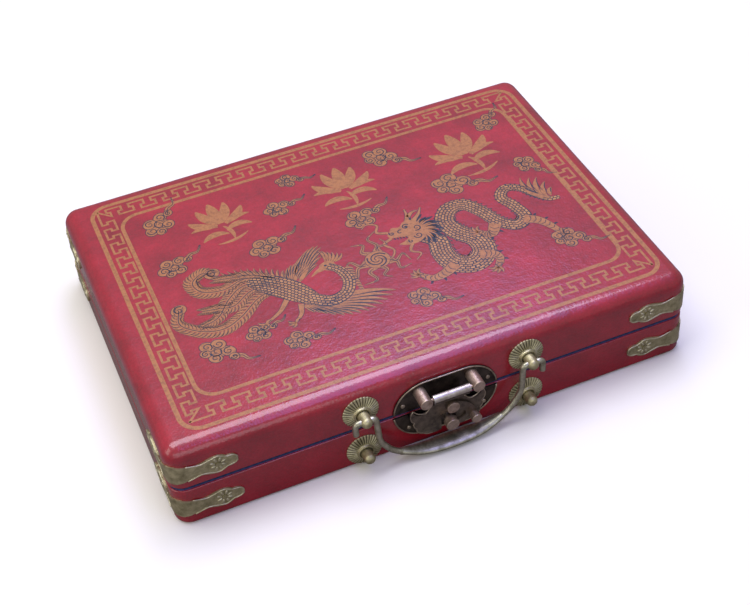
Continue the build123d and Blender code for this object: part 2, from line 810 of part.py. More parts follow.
def make_leaf(side, turn, name):
    """A leaf below (turn -1) or above (turn 1) the hinge line; the lower one has the two outer knuckles."""
    x = side * hinge_x
    knuckle_length = (leaf_width - 2 * knuckle_gap) / 3
    if turn < 0:
        knuckles = [x - knuckle_length - knuckle_gap, x + knuckle_length + knuckle_gap]
        bore = hinge_pin_radius + tight_fit
    else:
        knuckles = [x]
        bore = hinge_pin_radius + running_fit
    plate_low = knuckle_radius + knuckle_gap
    with BuildPart() as leaf:
        with BuildSketch(Plane.XY.offset(seam_z + turn * plate_low)):
            with Locations((x, rear_y + leaf_thickness / 2)):
                Rectangle(leaf_width, leaf_thickness)
        extrude(amount=turn * (leaf_height - plate_low))
        with BuildSketch(Plane.XY.offset(seam_z)):
            with Locations(*[(k, rear_y + leaf_thickness / 2) for k in knuckles]):
                Rectangle(knuckle_length, leaf_thickness)
        extrude(amount=turn * plate_low)
        with BuildSketch(*[cross_plane(k, hinge_y, seam_z) for k in knuckles]):
            Circle(knuckle_radius)
        extrude(amount=knuckle_length / 2, both=True)
        with BuildSketch(cross_plane(x, hinge_y, seam_z)):
            Circle(bore)
        extrude(amount=leaf_width, both=True, mode=Mode.SUBTRACT)
        discs(hinge_screw_planes(turn), screw_shank_radius + seat_fit, leaf_thickness, Mode.SUBTRACT)
    write(leaf, name)


def make_hinge_screws(turn, name):
    with BuildPart() as screws:
        discs(hinge_screw_planes(turn, leaf_thickness), screw_head_radius, screw_head_height)
        fillet(screws.faces().group_by(Axis.Y)[-1].edges(), head_edge)
        discs(hinge_screw_planes(turn, leaf_thickness), screw_shank_radius, -(leaf_thickness + screw_depth))
    write(screws, name)


for side, side_name in ((-1, "left"), (1, "right")):
    make_leaf(side, -1, f"hinge_leaf_base_{side_name}")
    make_leaf(side, 1, f"hinge_leaf_lid_{side_name}")
    with BuildPart() as hinge_pin:
        with BuildSketch(cross_plane(side * hinge_x, hinge_y, seam_z)):
            Circle(hinge_pin_radius)
        extrude(amount=leaf_width / 2 + hinge_pin_proud, both=True)
    write(hinge_pin, f"hinge_pin_{side_name}")
make_hinge_screws(-1, "hinge_screws_base")
make_hinge_screws(1, "hinge_screws_lid")


# Drawers: the front one rests at the left, the rear one at the right; each slides to the other end

track_depth = (bay_depth - partition_thickness) / 2
drawer_depth = track_depth - 2 * drawer_side_gap
drawer_low = runner_top + drawer_rest_gap
drawer_travel = bay_width - drawer_length - drawer_knob_reach - 2 * drawer_end_gap
for end, end_name, way in ((-1, "front", 1), (1, "rear", -1)):
    drawer_y = end * (partition_thickness + track_depth) / 2
    drawer_x = -way * (bay_width / 2 - drawer_end_gap - drawer_length / 2)
    face_x = drawer_x + way * drawer_length / 2
    knob_z = drawer_low + drawer_height / 2
    with BuildPart() as drawer:
        with BuildSketch(Plane.XY.offset(drawer_low)):
            with Locations((drawer_x, drawer_y)):
                RectangleRounded(drawer_length, drawer_depth, drawer_corner)
        extrude(amount=drawer_height)
        with BuildSketch(Plane.XY.offset(drawer_low + drawer_bottom)):
            with Locations((drawer_x, drawer_y)):
                Rectangle(drawer_length - 2 * drawer_wall, drawer_depth - 2 * drawer_wall)
        extrude(amount=drawer_height - drawer_bottom, mode=Mode.SUBTRACT)
        with BuildSketch(cross_plane(face_x, drawer_y, knob_z)):
            Circle(drawer_knob_shank + tight_fit)
        extrude(amount=drawer_wall, both=True, mode=Mode.SUBTRACT)
    write(drawer, f"{end_name}_drawer")

    with BuildPart() as drawer_lining:
        with BuildSketch(Plane.XY.offset(drawer_low + drawer_bottom)):
            with Locations((drawer_x, drawer_y)):
                Rectangle(drawer_length - 2 * drawer_wall, drawer_depth - 2 * drawer_wall)
        extrude(amount=lining_thickness)
    write(drawer_lining, f"{end_name}_drawer_lining")

    knob_plane = Plane(origin=(face_x, drawer_y, knob_z), x_dir=(0, way, 0), z_dir=(way, 0, 0))
    with BuildPart() as drawer_knob:
        discs([knob_plane.offset(drawer_knob_reach / 2)], drawer_knob_radius, drawer_knob_reach / 2)
        fillet(drawer_knob.edges().filter_by(GeomType.CIRCLE), head_edge)
        discs([knob_plane], drawer_knob_neck, drawer_knob_reach / 2)
        discs([knob_plane], drawer_knob_shank, -drawer_wall)
    write(drawer_knob, f"{end_name}_drawer_knob")

print("drawer travel", drawer_travel)
print("lower compartment", bay_width / 2, "x", track_depth)
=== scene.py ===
import math

import bpy
import numpy as np
from mathutils import Matrix, Vector


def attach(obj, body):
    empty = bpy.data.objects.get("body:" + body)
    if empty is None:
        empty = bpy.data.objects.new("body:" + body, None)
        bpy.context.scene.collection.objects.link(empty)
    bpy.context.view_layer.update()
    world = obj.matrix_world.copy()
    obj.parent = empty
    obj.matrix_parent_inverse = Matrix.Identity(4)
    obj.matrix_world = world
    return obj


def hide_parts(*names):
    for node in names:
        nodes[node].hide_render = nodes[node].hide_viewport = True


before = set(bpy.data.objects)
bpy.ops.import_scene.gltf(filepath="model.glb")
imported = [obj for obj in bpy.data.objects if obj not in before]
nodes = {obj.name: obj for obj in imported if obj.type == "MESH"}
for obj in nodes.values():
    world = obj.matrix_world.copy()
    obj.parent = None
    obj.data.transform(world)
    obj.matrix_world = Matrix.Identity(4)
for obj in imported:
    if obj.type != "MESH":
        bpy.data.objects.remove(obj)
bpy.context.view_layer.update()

mm = 0.001

caseSize = {"halfWidth": 180.0, "halfDepth": 131.0, "top": 67.0}


def toLinear(hexColour):
    # sRGB hex to the linear values that a shader takes
    channels = np.array([int(hexColour[i:i + 2], 16) for i in (1, 3, 5)]) / 255
    linear = np.where(channels <= 0.04045, channels / 12.92, ((channels + 0.055) / 1.055) ** 2.4)
    return (*linear.tolist(), 1.0)


def addNode(tree, kind, settings=None, values=None, links=None, stops=()):
    # one node with its settings, typed values, the sockets that feed it and a ramp's stops (place, colour)
    node = tree.nodes.new(kind)
    for key, value in (settings or {}).items():
        setattr(node, key, value)
    for key, value in (values or {}).items():
        node.inputs[key].default_value = value
    for key, source in (links or {}).items():
        tree.links.new(source, node.inputs[key])
    for k, (place, colour) in enumerate(stops):
        elements = node.color_ramp.elements
        stop = elements[k] if k < len(elements) else elements.new(place)
        stop.position, stop.color = place, toLinear(colour)
    return node


def clearTree(owner):
    # switches a material or a world to nodes and empties them
    owner.use_nodes = True
    owner.node_tree.nodes.clear()
    return owner.node_tree


def startMaterial(name, coordinates="Object"):
    # a new material, its node tree and the coordinates that its pattern follows
    material = bpy.data.materials.new(name)
    tree = clearTree(material)
    return material, tree, addNode(tree, "ShaderNodeTexCoord").outputs[coordinates]


def closeMaterial(tree, shader):
    # the shader feeds the surface
    addNode(tree, "ShaderNodeOutputMaterial", links={"Surface": shader.outputs[0]})


lacquerLook = {
    "reds": ((0.34, "#800717"), (0.66, "#B3142A"), (0.5, "#9C0B20")),
    # each noise: size in millimetres, detail, roughness
    "noises": {"blotch": (26.0, 4.0, 0.6), "ripple": (4.5, 3.0, 0.55), "speck": (1.7, 4.0, 0.7)},
    "speckShare": 0.45, "grainMm": 1.5, "grainSoftness": 0.4, "grainShare": 0.35,
    "bump": 0.5, "coatBump": 0.3, "bumpDepth": 0.00045,
    "roughness": 0.42, "coatRoughness": 0.15, "coatIor": 1.57,
}


def makeLeatherLacquer():
    # crimson lacquer over leathercloth: glassy and wavy on top, the fine grain of the cloth below it
    look = lacquerLook
    material, tree, place = startMaterial("crimsonLacquerOverLeathercloth")
    noise = {name: addNode(tree, "ShaderNodeTexNoise",
                           values={"Scale": 1000 / size, "Detail": detail, "Roughness": roughness},
                           links={"Vector": place}).outputs["Fac"]
             for name, (size, detail, roughness) in look["noises"].items()}
    grain = addNode(tree, "ShaderNodeTexVoronoi", {"feature": "SMOOTH_F1"},
                    {"Scale": 1000 / look["grainMm"], "Smoothness": look["grainSoftness"]}, {"Vector": place})
    tone = addNode(tree, "ShaderNodeMix", {"data_type": "FLOAT"}, {0: look["speckShare"]},
                   {2: noise["blotch"], 3: noise["speck"]})
    ramp = addNode(tree, "ShaderNodeValToRGB", links={"Fac": tone.outputs[0]}, stops=look["reds"])
    height = addNode(tree, "ShaderNodeMath", {"operation": "MULTIPLY_ADD"}, {1: look["grainShare"]},
                     {0: grain.outputs["Distance"], 2: noise["ripple"]})
    bump, coatBump = [addNode(tree, "ShaderNodeBump",
                              values={"Strength": look[key], "Distance": look["bumpDepth"]},
                              links={"Height": height.outputs[0]}) for key in ("bump", "coatBump")]
    shader = addNode(tree, "ShaderNodeBsdfPrincipled",
                     values={"Roughness": look["roughness"], "IOR": 1.5, "Coat Weight": 1.0,
                             "Coat Roughness": look["coatRoughness"], "Coat IOR": look["coatIor"]},
                     links={"Base Color": ramp.outputs["Color"], "Normal": bump.outputs["Normal"],
                            "Coat Normal": coatBump.outputs["Normal"]})
    closeMaterial(tree, shader)
    return material


inkLook = {
    # each ink: the worn and the full colour on the wear's ramp, roughness
    "gold": (((0.34, "#8F5831"), (0.56, "#B17240")), 0.42),
    "navy": (((0.34, "#1D2338"), (0.56, "#10152A")), 0.5),
    "wearMm": 2.2, "bump": 0.12, "coat": 0.7, "coatRoughness": 0.2,
}


def makeInk(name, stops, roughness):
    # screen-printed enamel ink under the lacquer: flat, a little patchy where it thins out
    material, tree, place = startMaterial(name)
    wear = addNode(tree, "ShaderNodeTexNoise",
                   values={"Scale": 1000 / inkLook["wearMm"], "Detail": 5.0, "Roughness": 0.7},
                   links={"Vector": place})
    ramp = addNode(tree, "ShaderNodeValToRGB", links={"Fac": wear.outputs["Fac"]}, stops=stops)
    bump = addNode(tree, "ShaderNodeBump", values={"Strength": inkLook["bump"], "Distance": 0.0003},
                   links={"Height": wear.outputs["Fac"]})
    shader = addNode(tree, "ShaderNodeBsdfPrincipled",
                     values={"Roughness": roughness, "IOR": 1.5, "Coat Weight": inkLook["coat"],
                             "Coat Roughness": inkLook["coatRoughness"]},
                     links={"Base Color": ramp.outputs["Color"], "Normal": bump.outputs["Normal"]})
    closeMaterial(tree, shader)
    return material


scaleLook = {"light": "#C4894F", "dark": "#9A6438", "line": "#12172B", "lineMm": 0.36, "lineSoftness": 0.2,
             "lengthMm": 2.7, "rowMm": 2.2, "roughness": 0.42}


def makeScaleInk():
    # gold scales divided by dark lines, laid along the figures' bodies by their own UV, in millimetres
    look = scaleLook
    material, tree, place = startMaterial("goldAndNavyScaleInk", "UV")
    rows = addNode(tree, "ShaderNodeTexBrick", {"offset": 0.5, "squash": 1.0},
                   {"Color1": toLinear(look["light"]), "Color2": toLinear(look["dark"]),
                    "Mortar": toLinear(look["line"]), "Scale": 1.0, "Mortar Size": look["lineMm"],
                    "Mortar Smooth": look["lineSoftness"], "Brick Width": look["lengthMm"],
                    "Row Height": look["rowMm"]}, {"Vector": place})
    shader = addNode(tree, "ShaderNodeBsdfPrincipled",
                     values={"Roughness": look["roughness"], "Coat Weight": inkLook["coat"],
                             "Coat Roughness": inkLook["coatRoughness"]},
                     links={"Base Color": rows.outputs["Color"]})
    closeMaterial(tree, shader)
    return material


# the barrel's axis and radius, and the bright colours painted on it as a highlight
haspLook = {"axis": (0.0, -142.2, 48.3), "barrelMm": 2.75, "highlightTone": ((0.32, "#B0A391"), (0.66, "#E2D9CB"))}
# the dark colour painted into the grooves as shade over their patina, and the UV values between which it
# clears
grooveLook = {"patinaAndShade": "#3B3526", "clearFrom": 0.25, "clearTo": 0.85}


def addPaintedBarrelHighlight(tree, place, patinaAndShade):
    # painted highlight: a bright colour takes over on the flap's barrel, within a distance of the barrel's
    # axis
    away = addNode(tree, "ShaderNodeVectorMath", {"operation": "SUBTRACT"},
                   {1: [value * mm for value in haspLook["axis"]]}, {0: place})
    across = addNode(tree, "ShaderNodeVectorMath", {"operation": "MULTIPLY"}, {1: (0.0, 1.0, 1.0)},
                     {0: away.outputs["Vector"]})
    radius = addNode(tree, "ShaderNodeVectorMath", {"operation": "LENGTH"},
                     links={0: across.outputs["Vector"]})
    near = addNode(tree, "ShaderNodeMath", {"operation": "LESS_THAN"}, {1: haspLook["barrelMm"] * mm},
                   {0: radius.outputs["Value"]})
    highlightTone = addNode(tree, "ShaderNodeValToRGB", links={"Fac": patinaAndShade.outputs["Fac"]}, stops=haspLook["highlightTone"])
    return near.outputs[0], highlightTone.outputs["Color"]


def addPaintedGrooveShade(tree, colour):
    # patina and painted shade darken the grooves: the piece's own UV holds 0 in a groove and 1 on a petal's
    # crown
    place = addNode(tree, "ShaderNodeTexCoord").outputs["UV"]
    crown = addNode(tree, "ShaderNodeSeparateXYZ", links={0: place}).outputs["X"]
    share = addNode(tree, "ShaderNodeMapRange",
                    values={"From Min": grooveLook["clearFrom"], "From Max": grooveLook["clearTo"]},
                    links={"Value": crown})
    mix = addNode(tree, "ShaderNodeMix", {"data_type": "RGBA"}, {6: toLinear(grooveLook["patinaAndShade"])},
                  {0: share.outputs["Result"], 7: colour})
    return mix.outputs[2]


def makePatinaMetal(name, look, paintedBarrelHighlight=False, grooved=False):
    # cast or stamped brass with a rubbed brown patina: dark in the pores, brighter where hands polish it
    dark, bright, patinaMm, pitMm, roughness, bumpStrength, metallic = look
    material, tree, place = startMaterial(name)
    cloud, pits = [addNode(tree, "ShaderNodeTexNoise",
                           values={"Scale": 1000 / size, "Detail": detail, "Roughness": unevenness},
                           links={"Vector": place})
                   for size, detail, unevenness in ((patinaMm, 6.0, 0.65), (pitMm, 3.0, 0.6))]
    ramp = addNode(tree, "ShaderNodeValToRGB", links={"Fac": cloud.outputs["Fac"]},
                   stops=((0.32, dark), (0.66, bright)))
    colour = ramp.outputs["Color"]
    # painted highlight: the barrel's colour is swapped for a bright one near its axis
    if paintedBarrelHighlight:
        near, highlightTone = addPaintedBarrelHighlight(tree, place, cloud)
        mix = addNode(tree, "ShaderNodeMix", {"data_type": "RGBA"}, links={0: near, 6: colour, 7: highlightTone})
        colour = mix.outputs[2]
    # painted shade: the grooves darken towards the patina colour
    if grooved:
        colour = addPaintedGrooveShade(tree, colour)
    rough = addNode(tree, "ShaderNodeMapRange",
                    values={"To Min": roughness + 0.12, "To Max": roughness - 0.08},
                    links={"Value": cloud.outputs["Fac"]})
    bump = addNode(tree, "ShaderNodeBump", values={"Strength": bumpStrength, "Distance": 0.0003},
                   links={"Height": pits.outputs["Fac"]})
    shader = addNode(tree, "ShaderNodeBsdfPrincipled", values={"Metallic": metallic},
                     links={"Base Color": colour, "Roughness": rough.outputs["Result"],
                            "Normal": bump.outputs["Normal"]})
    closeMaterial(tree, shader)
    return material


metalLooks = {
    # each metal: dark and bright, patina and pit sizes in millimetres, roughness, bump, metallic
    "antiqueBrass": ("#8F8762", "#D0C79B", 6.0, 0.9, 0.44, 0.25, 0.8),
    "handleBrass": ("#8E8A70", "#D2CEB4", 5.0, 1.2, 0.34, 0.2, 0.9),
    "rubbedCopperBrass": ("#9A8371", "#D8C2AE", 5.0, 0.8, 0.38, 0.15, 0.85),
    "darkBronze": ("#2A2420", "#5E544A", 7.0, 0.8, 0.38, 0.3, 0.9),
    "flapBronze": ("#473E37", "#8A7D6E", 7.0, 0.8, 0.36, 0.3, 0.9),
    # painted highlight: the two edge metals are lighter copies of the antique brass and the bronze, for
    # raised edges, beads, petals and rivets
    "edgeHighlightBrass": ("#ABA380", "#E2DAB8", 5.0, 0.8, 0.38, 0.15, 0.8),
    "edgeHighlightBronze": ("#8E7E6A", "#CBBBA4", 5.0, 0.8, 0.34, 0.15, 0.9),
}
flutedLook = ("#A0986F", "#DCD3A8", 6.0, 0.9, 0.4, 0.15, 0.8)

clothLook = {"threadMm": 0.8, "lining": ((0.0, "#141C45"), (1.0, "#27336B")),
             "rim": ((0.0, "#3A467C"), (1.0, "#4C5A8E")), "bump": 0.4, "roughness": 0.85, "sheen": 0.3}


def makeNavyCloth(name, stops):
    # woven navy lining: threads that cross on every side, a little coarser than real ones so that they show
    look = clothLook
    material, tree, place = startMaterial(name)
    wefts = [addNode(tree, "ShaderNodeTexWave", {"bands_direction": axis},
                     {"Scale": 1000 / look["threadMm"] / 20, "Distortion": 0.4, "Detail": 1.0},
                     {"Vector": place}).outputs["Fac"] for axis in ("X", "Y", "Z")]
    weave = addNode(tree, "ShaderNodeMath", {"operation": "MULTIPLY"}, links={0: wefts[0], 1: wefts[1]})
    weave = addNode(tree, "ShaderNodeMath", {"operation": "MULTIPLY_ADD"}, {1: 0.5},
                    {0: wefts[2], 2: weave.outputs[0]})
    ramp = addNode(tree, "ShaderNodeValToRGB", links={"Fac": weave.outputs[0]}, stops=stops)
    bump = addNode(tree, "ShaderNodeBump", values={"Strength": look["bump"], "Distance": 0.0002},
                   links={"Height": weave.outputs[0]})
    shader = addNode(tree, "ShaderNodeBsdfPrincipled",
                     values={"Roughness": look["roughness"], "Sheen Weight": look["sheen"]},
                     links={"Base Color": ramp.outputs["Color"], "Normal": bump.outputs["Normal"]})
    closeMaterial(tree, shader)
    return material


woodLooks = {
    "stainedPoplar": {"stops": ((0.3, "#3A1710"), (0.7, "#6A3020")), "grainMm": 3.0, "roughness": 0.55,
                      "coat": 0.1},
    "redLacqueredPoplar": {"stops": ((0.3, "#6E1016"), (0.7, "#94201F")), "grainMm": 4.0, "roughness": 0.4,
                           "coat": 0.5},
}


def makeWood(name, look):
    # straight-grained poplar board: long streaks along X, stained or thinly lacquered
    material, tree, place = startMaterial(name)
    stretch = addNode(tree, "ShaderNodeMapping", values={"Scale": (0.06, 1.0, 1.0)}, links={"Vector": place})
    grain = addNode(tree, "ShaderNodeTexNoise",
                    values={"Scale": 1000 / look["grainMm"], "Detail": 6.0, "Roughness": 0.62,
                            "Distortion": 0.3},
                    links={"Vector": stretch.outputs["Vector"]})
    ramp = addNode(tree, "ShaderNodeValToRGB", links={"Fac": grain.outputs["Fac"]}, stops=look["stops"])
    bump = addNode(tree, "ShaderNodeBump", values={"Strength": 0.2, "Distance": 0.0002},
                   links={"Height": grain.outputs["Fac"]})
    shader = addNode(tree, "ShaderNodeBsdfPrincipled",
                     values={"Roughness": look["roughness"], "Coat Weight": look["coat"],
                             "Coat Roughness": 0.25},
                     links={"Base Color": ramp.outputs["Color"], "Normal": bump.outputs["Normal"]})
    closeMaterial(tree, shader)
    return material


lacquer = makeLeatherLacquer()
goldInk = makeInk("goldEnamelInk", *inkLook["gold"])
navyInk = makeInk("navyEnamelInk", *inkLook["navy"])
scaleInk = makeScaleInk()
metals = {name: makePatinaMetal(name, look) for name, look in metalLooks.items()}
haspBronze = makePatinaMetal("flapBronzeWithPaintedBarrelHighlight", metalLooks["flapBronze"], paintedBarrelHighlight=True)
flutedBrass = makePatinaMetal("flutedBrassWithPaintedGrooveShade", flutedLook, grooved=True)
navyCloth = makeNavyCloth("wovenNavyLining", clothLook["lining"])
rimCloth = makeNavyCloth("wovenNavyLiningEdge", clothLook["rim"])
woods = {name: makeWood(name, look) for name, look in woodLooks.items()}
print("materials made:", len(bpy.data.materials))

# the solids of each finish; every other solid is antique brass
solidsOfFinish = (
    (lacquer, ("base_shell", "lid_shell")),
    (navyCloth, ("base_collar", "base_floor_lining", "lid_lining", "front_drawer_lining",
                 "rear_drawer_lining")),
    (woods["stainedPoplar"], ("centre_partition", "cross_partition_front", "cross_partition_rear",
                              "front_runner_outer", "front_runner_centre", "rear_runner_outer",
                              "rear_runner_centre")),
    (woods["redLacqueredPoplar"], ("front_drawer", "rear_drawer")),
    (metals["handleBrass"], ("handle",)),
    (metals["darkBronze"], ("lock_plate_lower", "lock_plate_upper")),
    (haspBronze, ("hasp_flap",)),
    (metals["flapBronze"], ("catch_lever",)),
    (metals["rubbedCopperBrass"], ("lock_stud", "lock_post_left", "lock_post_right", "hasp_pin",
                                   "catch_pivot", "catch_knob")),
    # the rivets take the lighter edge bronze: painted highlight
    (metals["edgeHighlightBronze"], ("lock_rivets_lower", "lock_rivets_upper")),
)
finishOfNode = {name: finish for finish, names in solidsOfFinish for name in names}
for name, node in nodes.items():
    if not node.material_slots:
        node.data.materials.append(None)
    node.material_slots[0].material = finishOfNode.get(name, metals["antiqueBrass"])
print("solids dressed:", len(nodes))


def makePiece(name, parts, material, body, smooth=False, uv=None):
    # joins (points, faces) pairs, in millimetres, into one mesh that rides on a body
    starts = np.cumsum([0] + [len(points) for points, _ in parts])
    points = np.concatenate([points for points, _ in parts]) * mm
    faces = [tuple(int(k + start) for k in face) for (_, part), start in zip(parts, starts) for face in part]
    mesh = bpy.data.meshes.new(name)
    mesh.from_pydata(points.tolist(), [], faces)
    if uv is not None:
        layer = mesh.uv_layers.new(name="UVMap")
        corners = np.zeros(len(mesh.loops), np.int32)
        mesh.loops.foreach_get("vertex_index", corners)
        layer.data.foreach_set("uv", np.concatenate(uv)[corners].astype(np.float32).ravel())
    mesh.polygons.foreach_set("use_smooth", [smooth] * len(mesh.polygons))
    mesh.materials.append(material)
    piece = bpy.data.objects.new(name, mesh)
    bpy.context.scene.collection.objects.link(piece)
    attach(piece, body)
    return piece


def tubeFaces(stations, ringSize, closed=False):
    # quads between rings that follow each other along a path, and an end face at each end
    i = np.arange(stations if closed else stations - 1)[:, None]
    k = np.arange(ringSize)[None, :]
    after, beside = (i + 1) % stations, (k + 1) % ringSize
    quads = np.stack(np.broadcast_arrays(i * ringSize + k, i * ringSize + beside,
                                         after * ringSize + beside, after * ringSize + k), -1).reshape(-1, 4)
    faces = [tuple(q) for q in quads.tolist()]
    if not closed:
        faces.append(tuple(range(ringSize - 1, -1, -1)))
        faces.append(tuple((stations - 1) * ringSize + j for j in range(ringSize)))
    return faces


def smoothLine(points, count):
    # Catmull-Rom curve through the points: each span is the cubic that has its neighbours' slopes
    p = np.asarray(points, float)
    p = np.vstack([2 * p[0] - p[1], p, 2 * p[-1] - p[-2]])
    t = np.linspace(0, len(p) - 3 - 1e-9, count)
    i = t.astype(int)
    f = (t - i)[:, None]
    a, b, c, d = p[i], p[i + 1], p[i + 2], p[i + 3]
    return 0.5 * (2 * b + (c - a) * f + (2 * a - 5 * b + 4 * c - d) * f ** 2
                  + (3 * b - a - 3 * c + d) * f ** 3)


def sideways(path, closed=False):
    # at each point, the mitred unit normal to the left of the path
    p = np.asarray(path, float)
    step = np.roll(p, -1, 0) - p
    step /= np.maximum(np.linalg.norm(step, axis=1, keepdims=True), 1e-9)
    normal = np.stack([-step[:, 1], step[:, 0]], 1)
    before = np.roll(normal, 1, 0)
    if not closed:
        before[0] = normal[0]
        normal[-1] = before[-1]
    return (normal + before) / np.maximum(1 + (normal * before).sum(1, keepdims=True), 0.35)


inkFoot = caseSize["top"] - 0.05


def strip(path, halfWidth, top, closed=False):
    # a flat bar carried along a path: left foot, left top, right top, right foot at each station
    p = np.asarray(path, float)
    across = sideways(p, closed) * np.broadcast_to(np.asarray(halfWidth, float), len(p))[:, None]
    rings = np.full((len(p), 4, 3), inkFoot)
    rings[:, :2, :2] = (p + across)[:, None]
    rings[:, 2:, :2] = (p - across)[:, None]
    rings[:, 1:3, 2] = np.reshape(top, (-1, 1))
    return rings.reshape(-1, 3), tubeFaces(len(p), 4, closed)


def prism(ring, top):
    # a closed outline filled flat, from the foot of the ink to its top
    n = len(ring)
    solid = np.full((2 * n, 3), inkFoot)
    solid[:n, :2] = solid[n:, :2] = ring
    solid[n:, 2] = top
    sides = [(k, (k + 1) % n, (k + 1) % n + n, k + n) for k in range(n)]
    return solid, sides + [tuple(range(n - 1, -1, -1)), tuple(range(n, 2 * n))]


def disc(centre, radii, angle, top, count=28):
    # a flat ellipse, turned by an angle
    turn = np.linspace(0, 2 * np.pi, count, endpoint=False)
    x, y = radii[0] * np.cos(turn), radii[1] * np.sin(turn)
    c, s = math.cos(angle), math.sin(angle)
    return prism(np.stack([centre[0] + c * x - s * y, centre[1] + s * x + c * y], 1), top)


def patch(points, top, count=60):
    # a closed smooth outline through the points, filled
    p = np.asarray(points, float)
    spans = len(p) + 2
    around = smoothLine(np.vstack([p[-1:], p, p[:2]]), count * 2)
    t = np.linspace(0, spans - 1e-9, count * 2)
    return prism(around[(t >= 1) & (t < spans - 1)], top)


strokeLook = {"tipShare": 0.03, "fullness": 0.8, "curlClosing": 0.86, "curlThinning": 0.5}


def leaf(start, finish, bend, halfWidth, top, count=12):
    # a pointed blade between two points: a parabola bows it, and its width is a sine raised to the fullness
    a, b = np.asarray(start, float), np.asarray(finish, float)
    t = np.linspace(0, 1, count)[:, None]
    chord = b - a
    path = a + chord * t + np.array([-chord[1], chord[0]]) * bend * 4 * t * (1 - t)
    inset = strokeLook["tipShare"]
    width = halfWidth * np.sin(np.pi * (inset + (1 - 2 * inset) * t[:, 0])) ** strokeLook["fullness"]
    return strip(path, width, top)


def spiral(centre, radius, turns, start, halfWidth, top, count=26):
    # a line whose radius shrinks steadily as it turns
    t = np.linspace(0, 1, count)
    angle = start + turns * 2 * np.pi * t
    r = radius * (1 - strokeLook["curlClosing"] * t)
    path = np.stack([centre[0] + r * np.cos(angle), centre[1] + r * np.sin(angle)], 1)
    return strip(path, halfWidth * (1 - strokeLook["curlThinning"] * t), top)


# the print on the lid: thin prisms, the navy edges just below the gold and the navy lines on top
gold, navy = [], []
layers = {"low": caseSize["top"] + 0.012, "gold": caseSize["top"] + 0.03, "navy": caseSize["top"] + 0.068}
inkEdge = {"width": 0.36, "drop": 0.0004, "bodyWidth": 0.4, "bodyDrop": 0.0008}


def outlined(shapeMaker, lift, grow=inkEdge["width"]):
    # a gold shape with a slightly larger navy one just below it
    navy.append(shapeMaker(grow, layers["gold"] + lift - inkEdge["drop"]))
    gold.append(shapeMaker(0.0, layers["gold"] + lift))


def outlinedLine(points, count, halfWidths, lift, growth=1.0):
    # a gold ribbon with a navy edge through the points, tapering between two half widths
    line = smoothLine(points, count)
    width = np.linspace(*halfWidths, count)
    outlined(lambda grow, top: strip(line, width + growth * grow, top), lift)
    return line, width


def scaledBody(path, half, top):
    # a gold band of scales with a navy edge, and its UV in millimetres: along the path and across it
    length = np.concatenate([[0], np.cumsum(np.linalg.norm(np.diff(path, axis=0), axis=1))])
    navy.append(strip(path, half + inkEdge["bodyWidth"], top - inkEdge["bodyDrop"]))
    uv = np.zeros((len(path), 4, 2))
    uv[:, :, 0] = length[:, None]
    uv[:, :, 1] = half[:, None] * np.array([1, 1, -1, -1])
    return strip(path, half, top), uv.reshape(-1, 2)


def polar(centre, reach, angle):
    # the place at a reach and an angle from a centre
    return np.array([centre[0] + reach * math.cos(angle), centre[1] + reach * math.sin(angle)])


def placer(x, y, size, angle):
    # turns shares of a motif's size into places on the lid
    c, s = math.cos(angle), math.sin(angle)
    return lambda u, v: (x + size * (c * u - s * v), y + size * (s * u + c * v))


borderLook = {
    # each ring: left, right, low and high sides, corner radius, half width
    "rings": (((-162.0, 168.3, -118.3, 118.0), 13.0, 1.55), ((-145.0, 152.6, -95.4, 99.2), 13.5, 1.4)),
    "fret": (-157.2, 163.4, -111.0, 113.6), "fretHeight": 9.0, "fretHalf": 0.82, "fretDrop": 0.004,
    "periods": (19, 13), "lead": 0.6, "leads": 1.3, "lastHook": 0.34,
    "hook": ((0, 0), (0.66, 0), (0.66, 0.45), (0.5, 0.45), (0.5, 1), (1.16, 1), (1.16, 0.55), (1.0, 0.55)),
}


def roundedRing(box, radius, perCorner=12):
    # a rectangle whose corners are quarter circles
    left, right, low, high = box
    turn = np.linspace(0, np.pi / 2, perCorner)
    centres = ((right - radius, high - radius), (left + radius, high - radius),
               (left + radius, low + radius), (right - radius, low + radius))
    arcs = []
    for quarter, (x, y) in enumerate(centres):
        angle = turn + quarter * np.pi / 2
        arcs.append(np.stack([x + radius * np.cos(angle), y + radius * np.sin(angle)], 1))
    return np.concatenate(arcs)


def fretRun(length, periods):
    # hooked key pattern along one side: outer bar, hook in, inner bar, hook back; then a mitre to the corner
    look, height = borderLook, borderLook["fretHeight"]
    run = np.concatenate([np.array(look["hook"]) + (n, 0) for n in range(periods)])[:-3]
    period = (length - look["leads"] * height) / (periods - look["lastHook"])
    run = run * (period, height) + (look["lead"] * height, 0)
    run[-1, 0] = length - height
    return np.vstack([[(0.0, 0.0)], run, [(length, 0.0)]])


def addBorder():
    # two rounded rings and between them the key pattern along each side
    look = borderLook
    for box, radius, half in look["rings"]:
        gold.append(strip(roundedRing(box, radius), half, layers["gold"], True))
    left, right, low, high = look["fret"]
    sides = (((left, low), (1, 0), right - left, 0), ((right, low), (0, 1), high - low, 1),
             ((right, high), (-1, 0), right - left, 0), ((left, high), (0, -1), high - low, 1))
    for origin, along, length, kind in sides:
        run = fretRun(length, look["periods"][kind])
        inward = (-along[1], along[0])
        path = np.array(origin) + run[:, :1] * along + run[:, 1:] * inward
        gold.append(strip(path, look["fretHalf"], layers["gold"] - look["fretDrop"]))


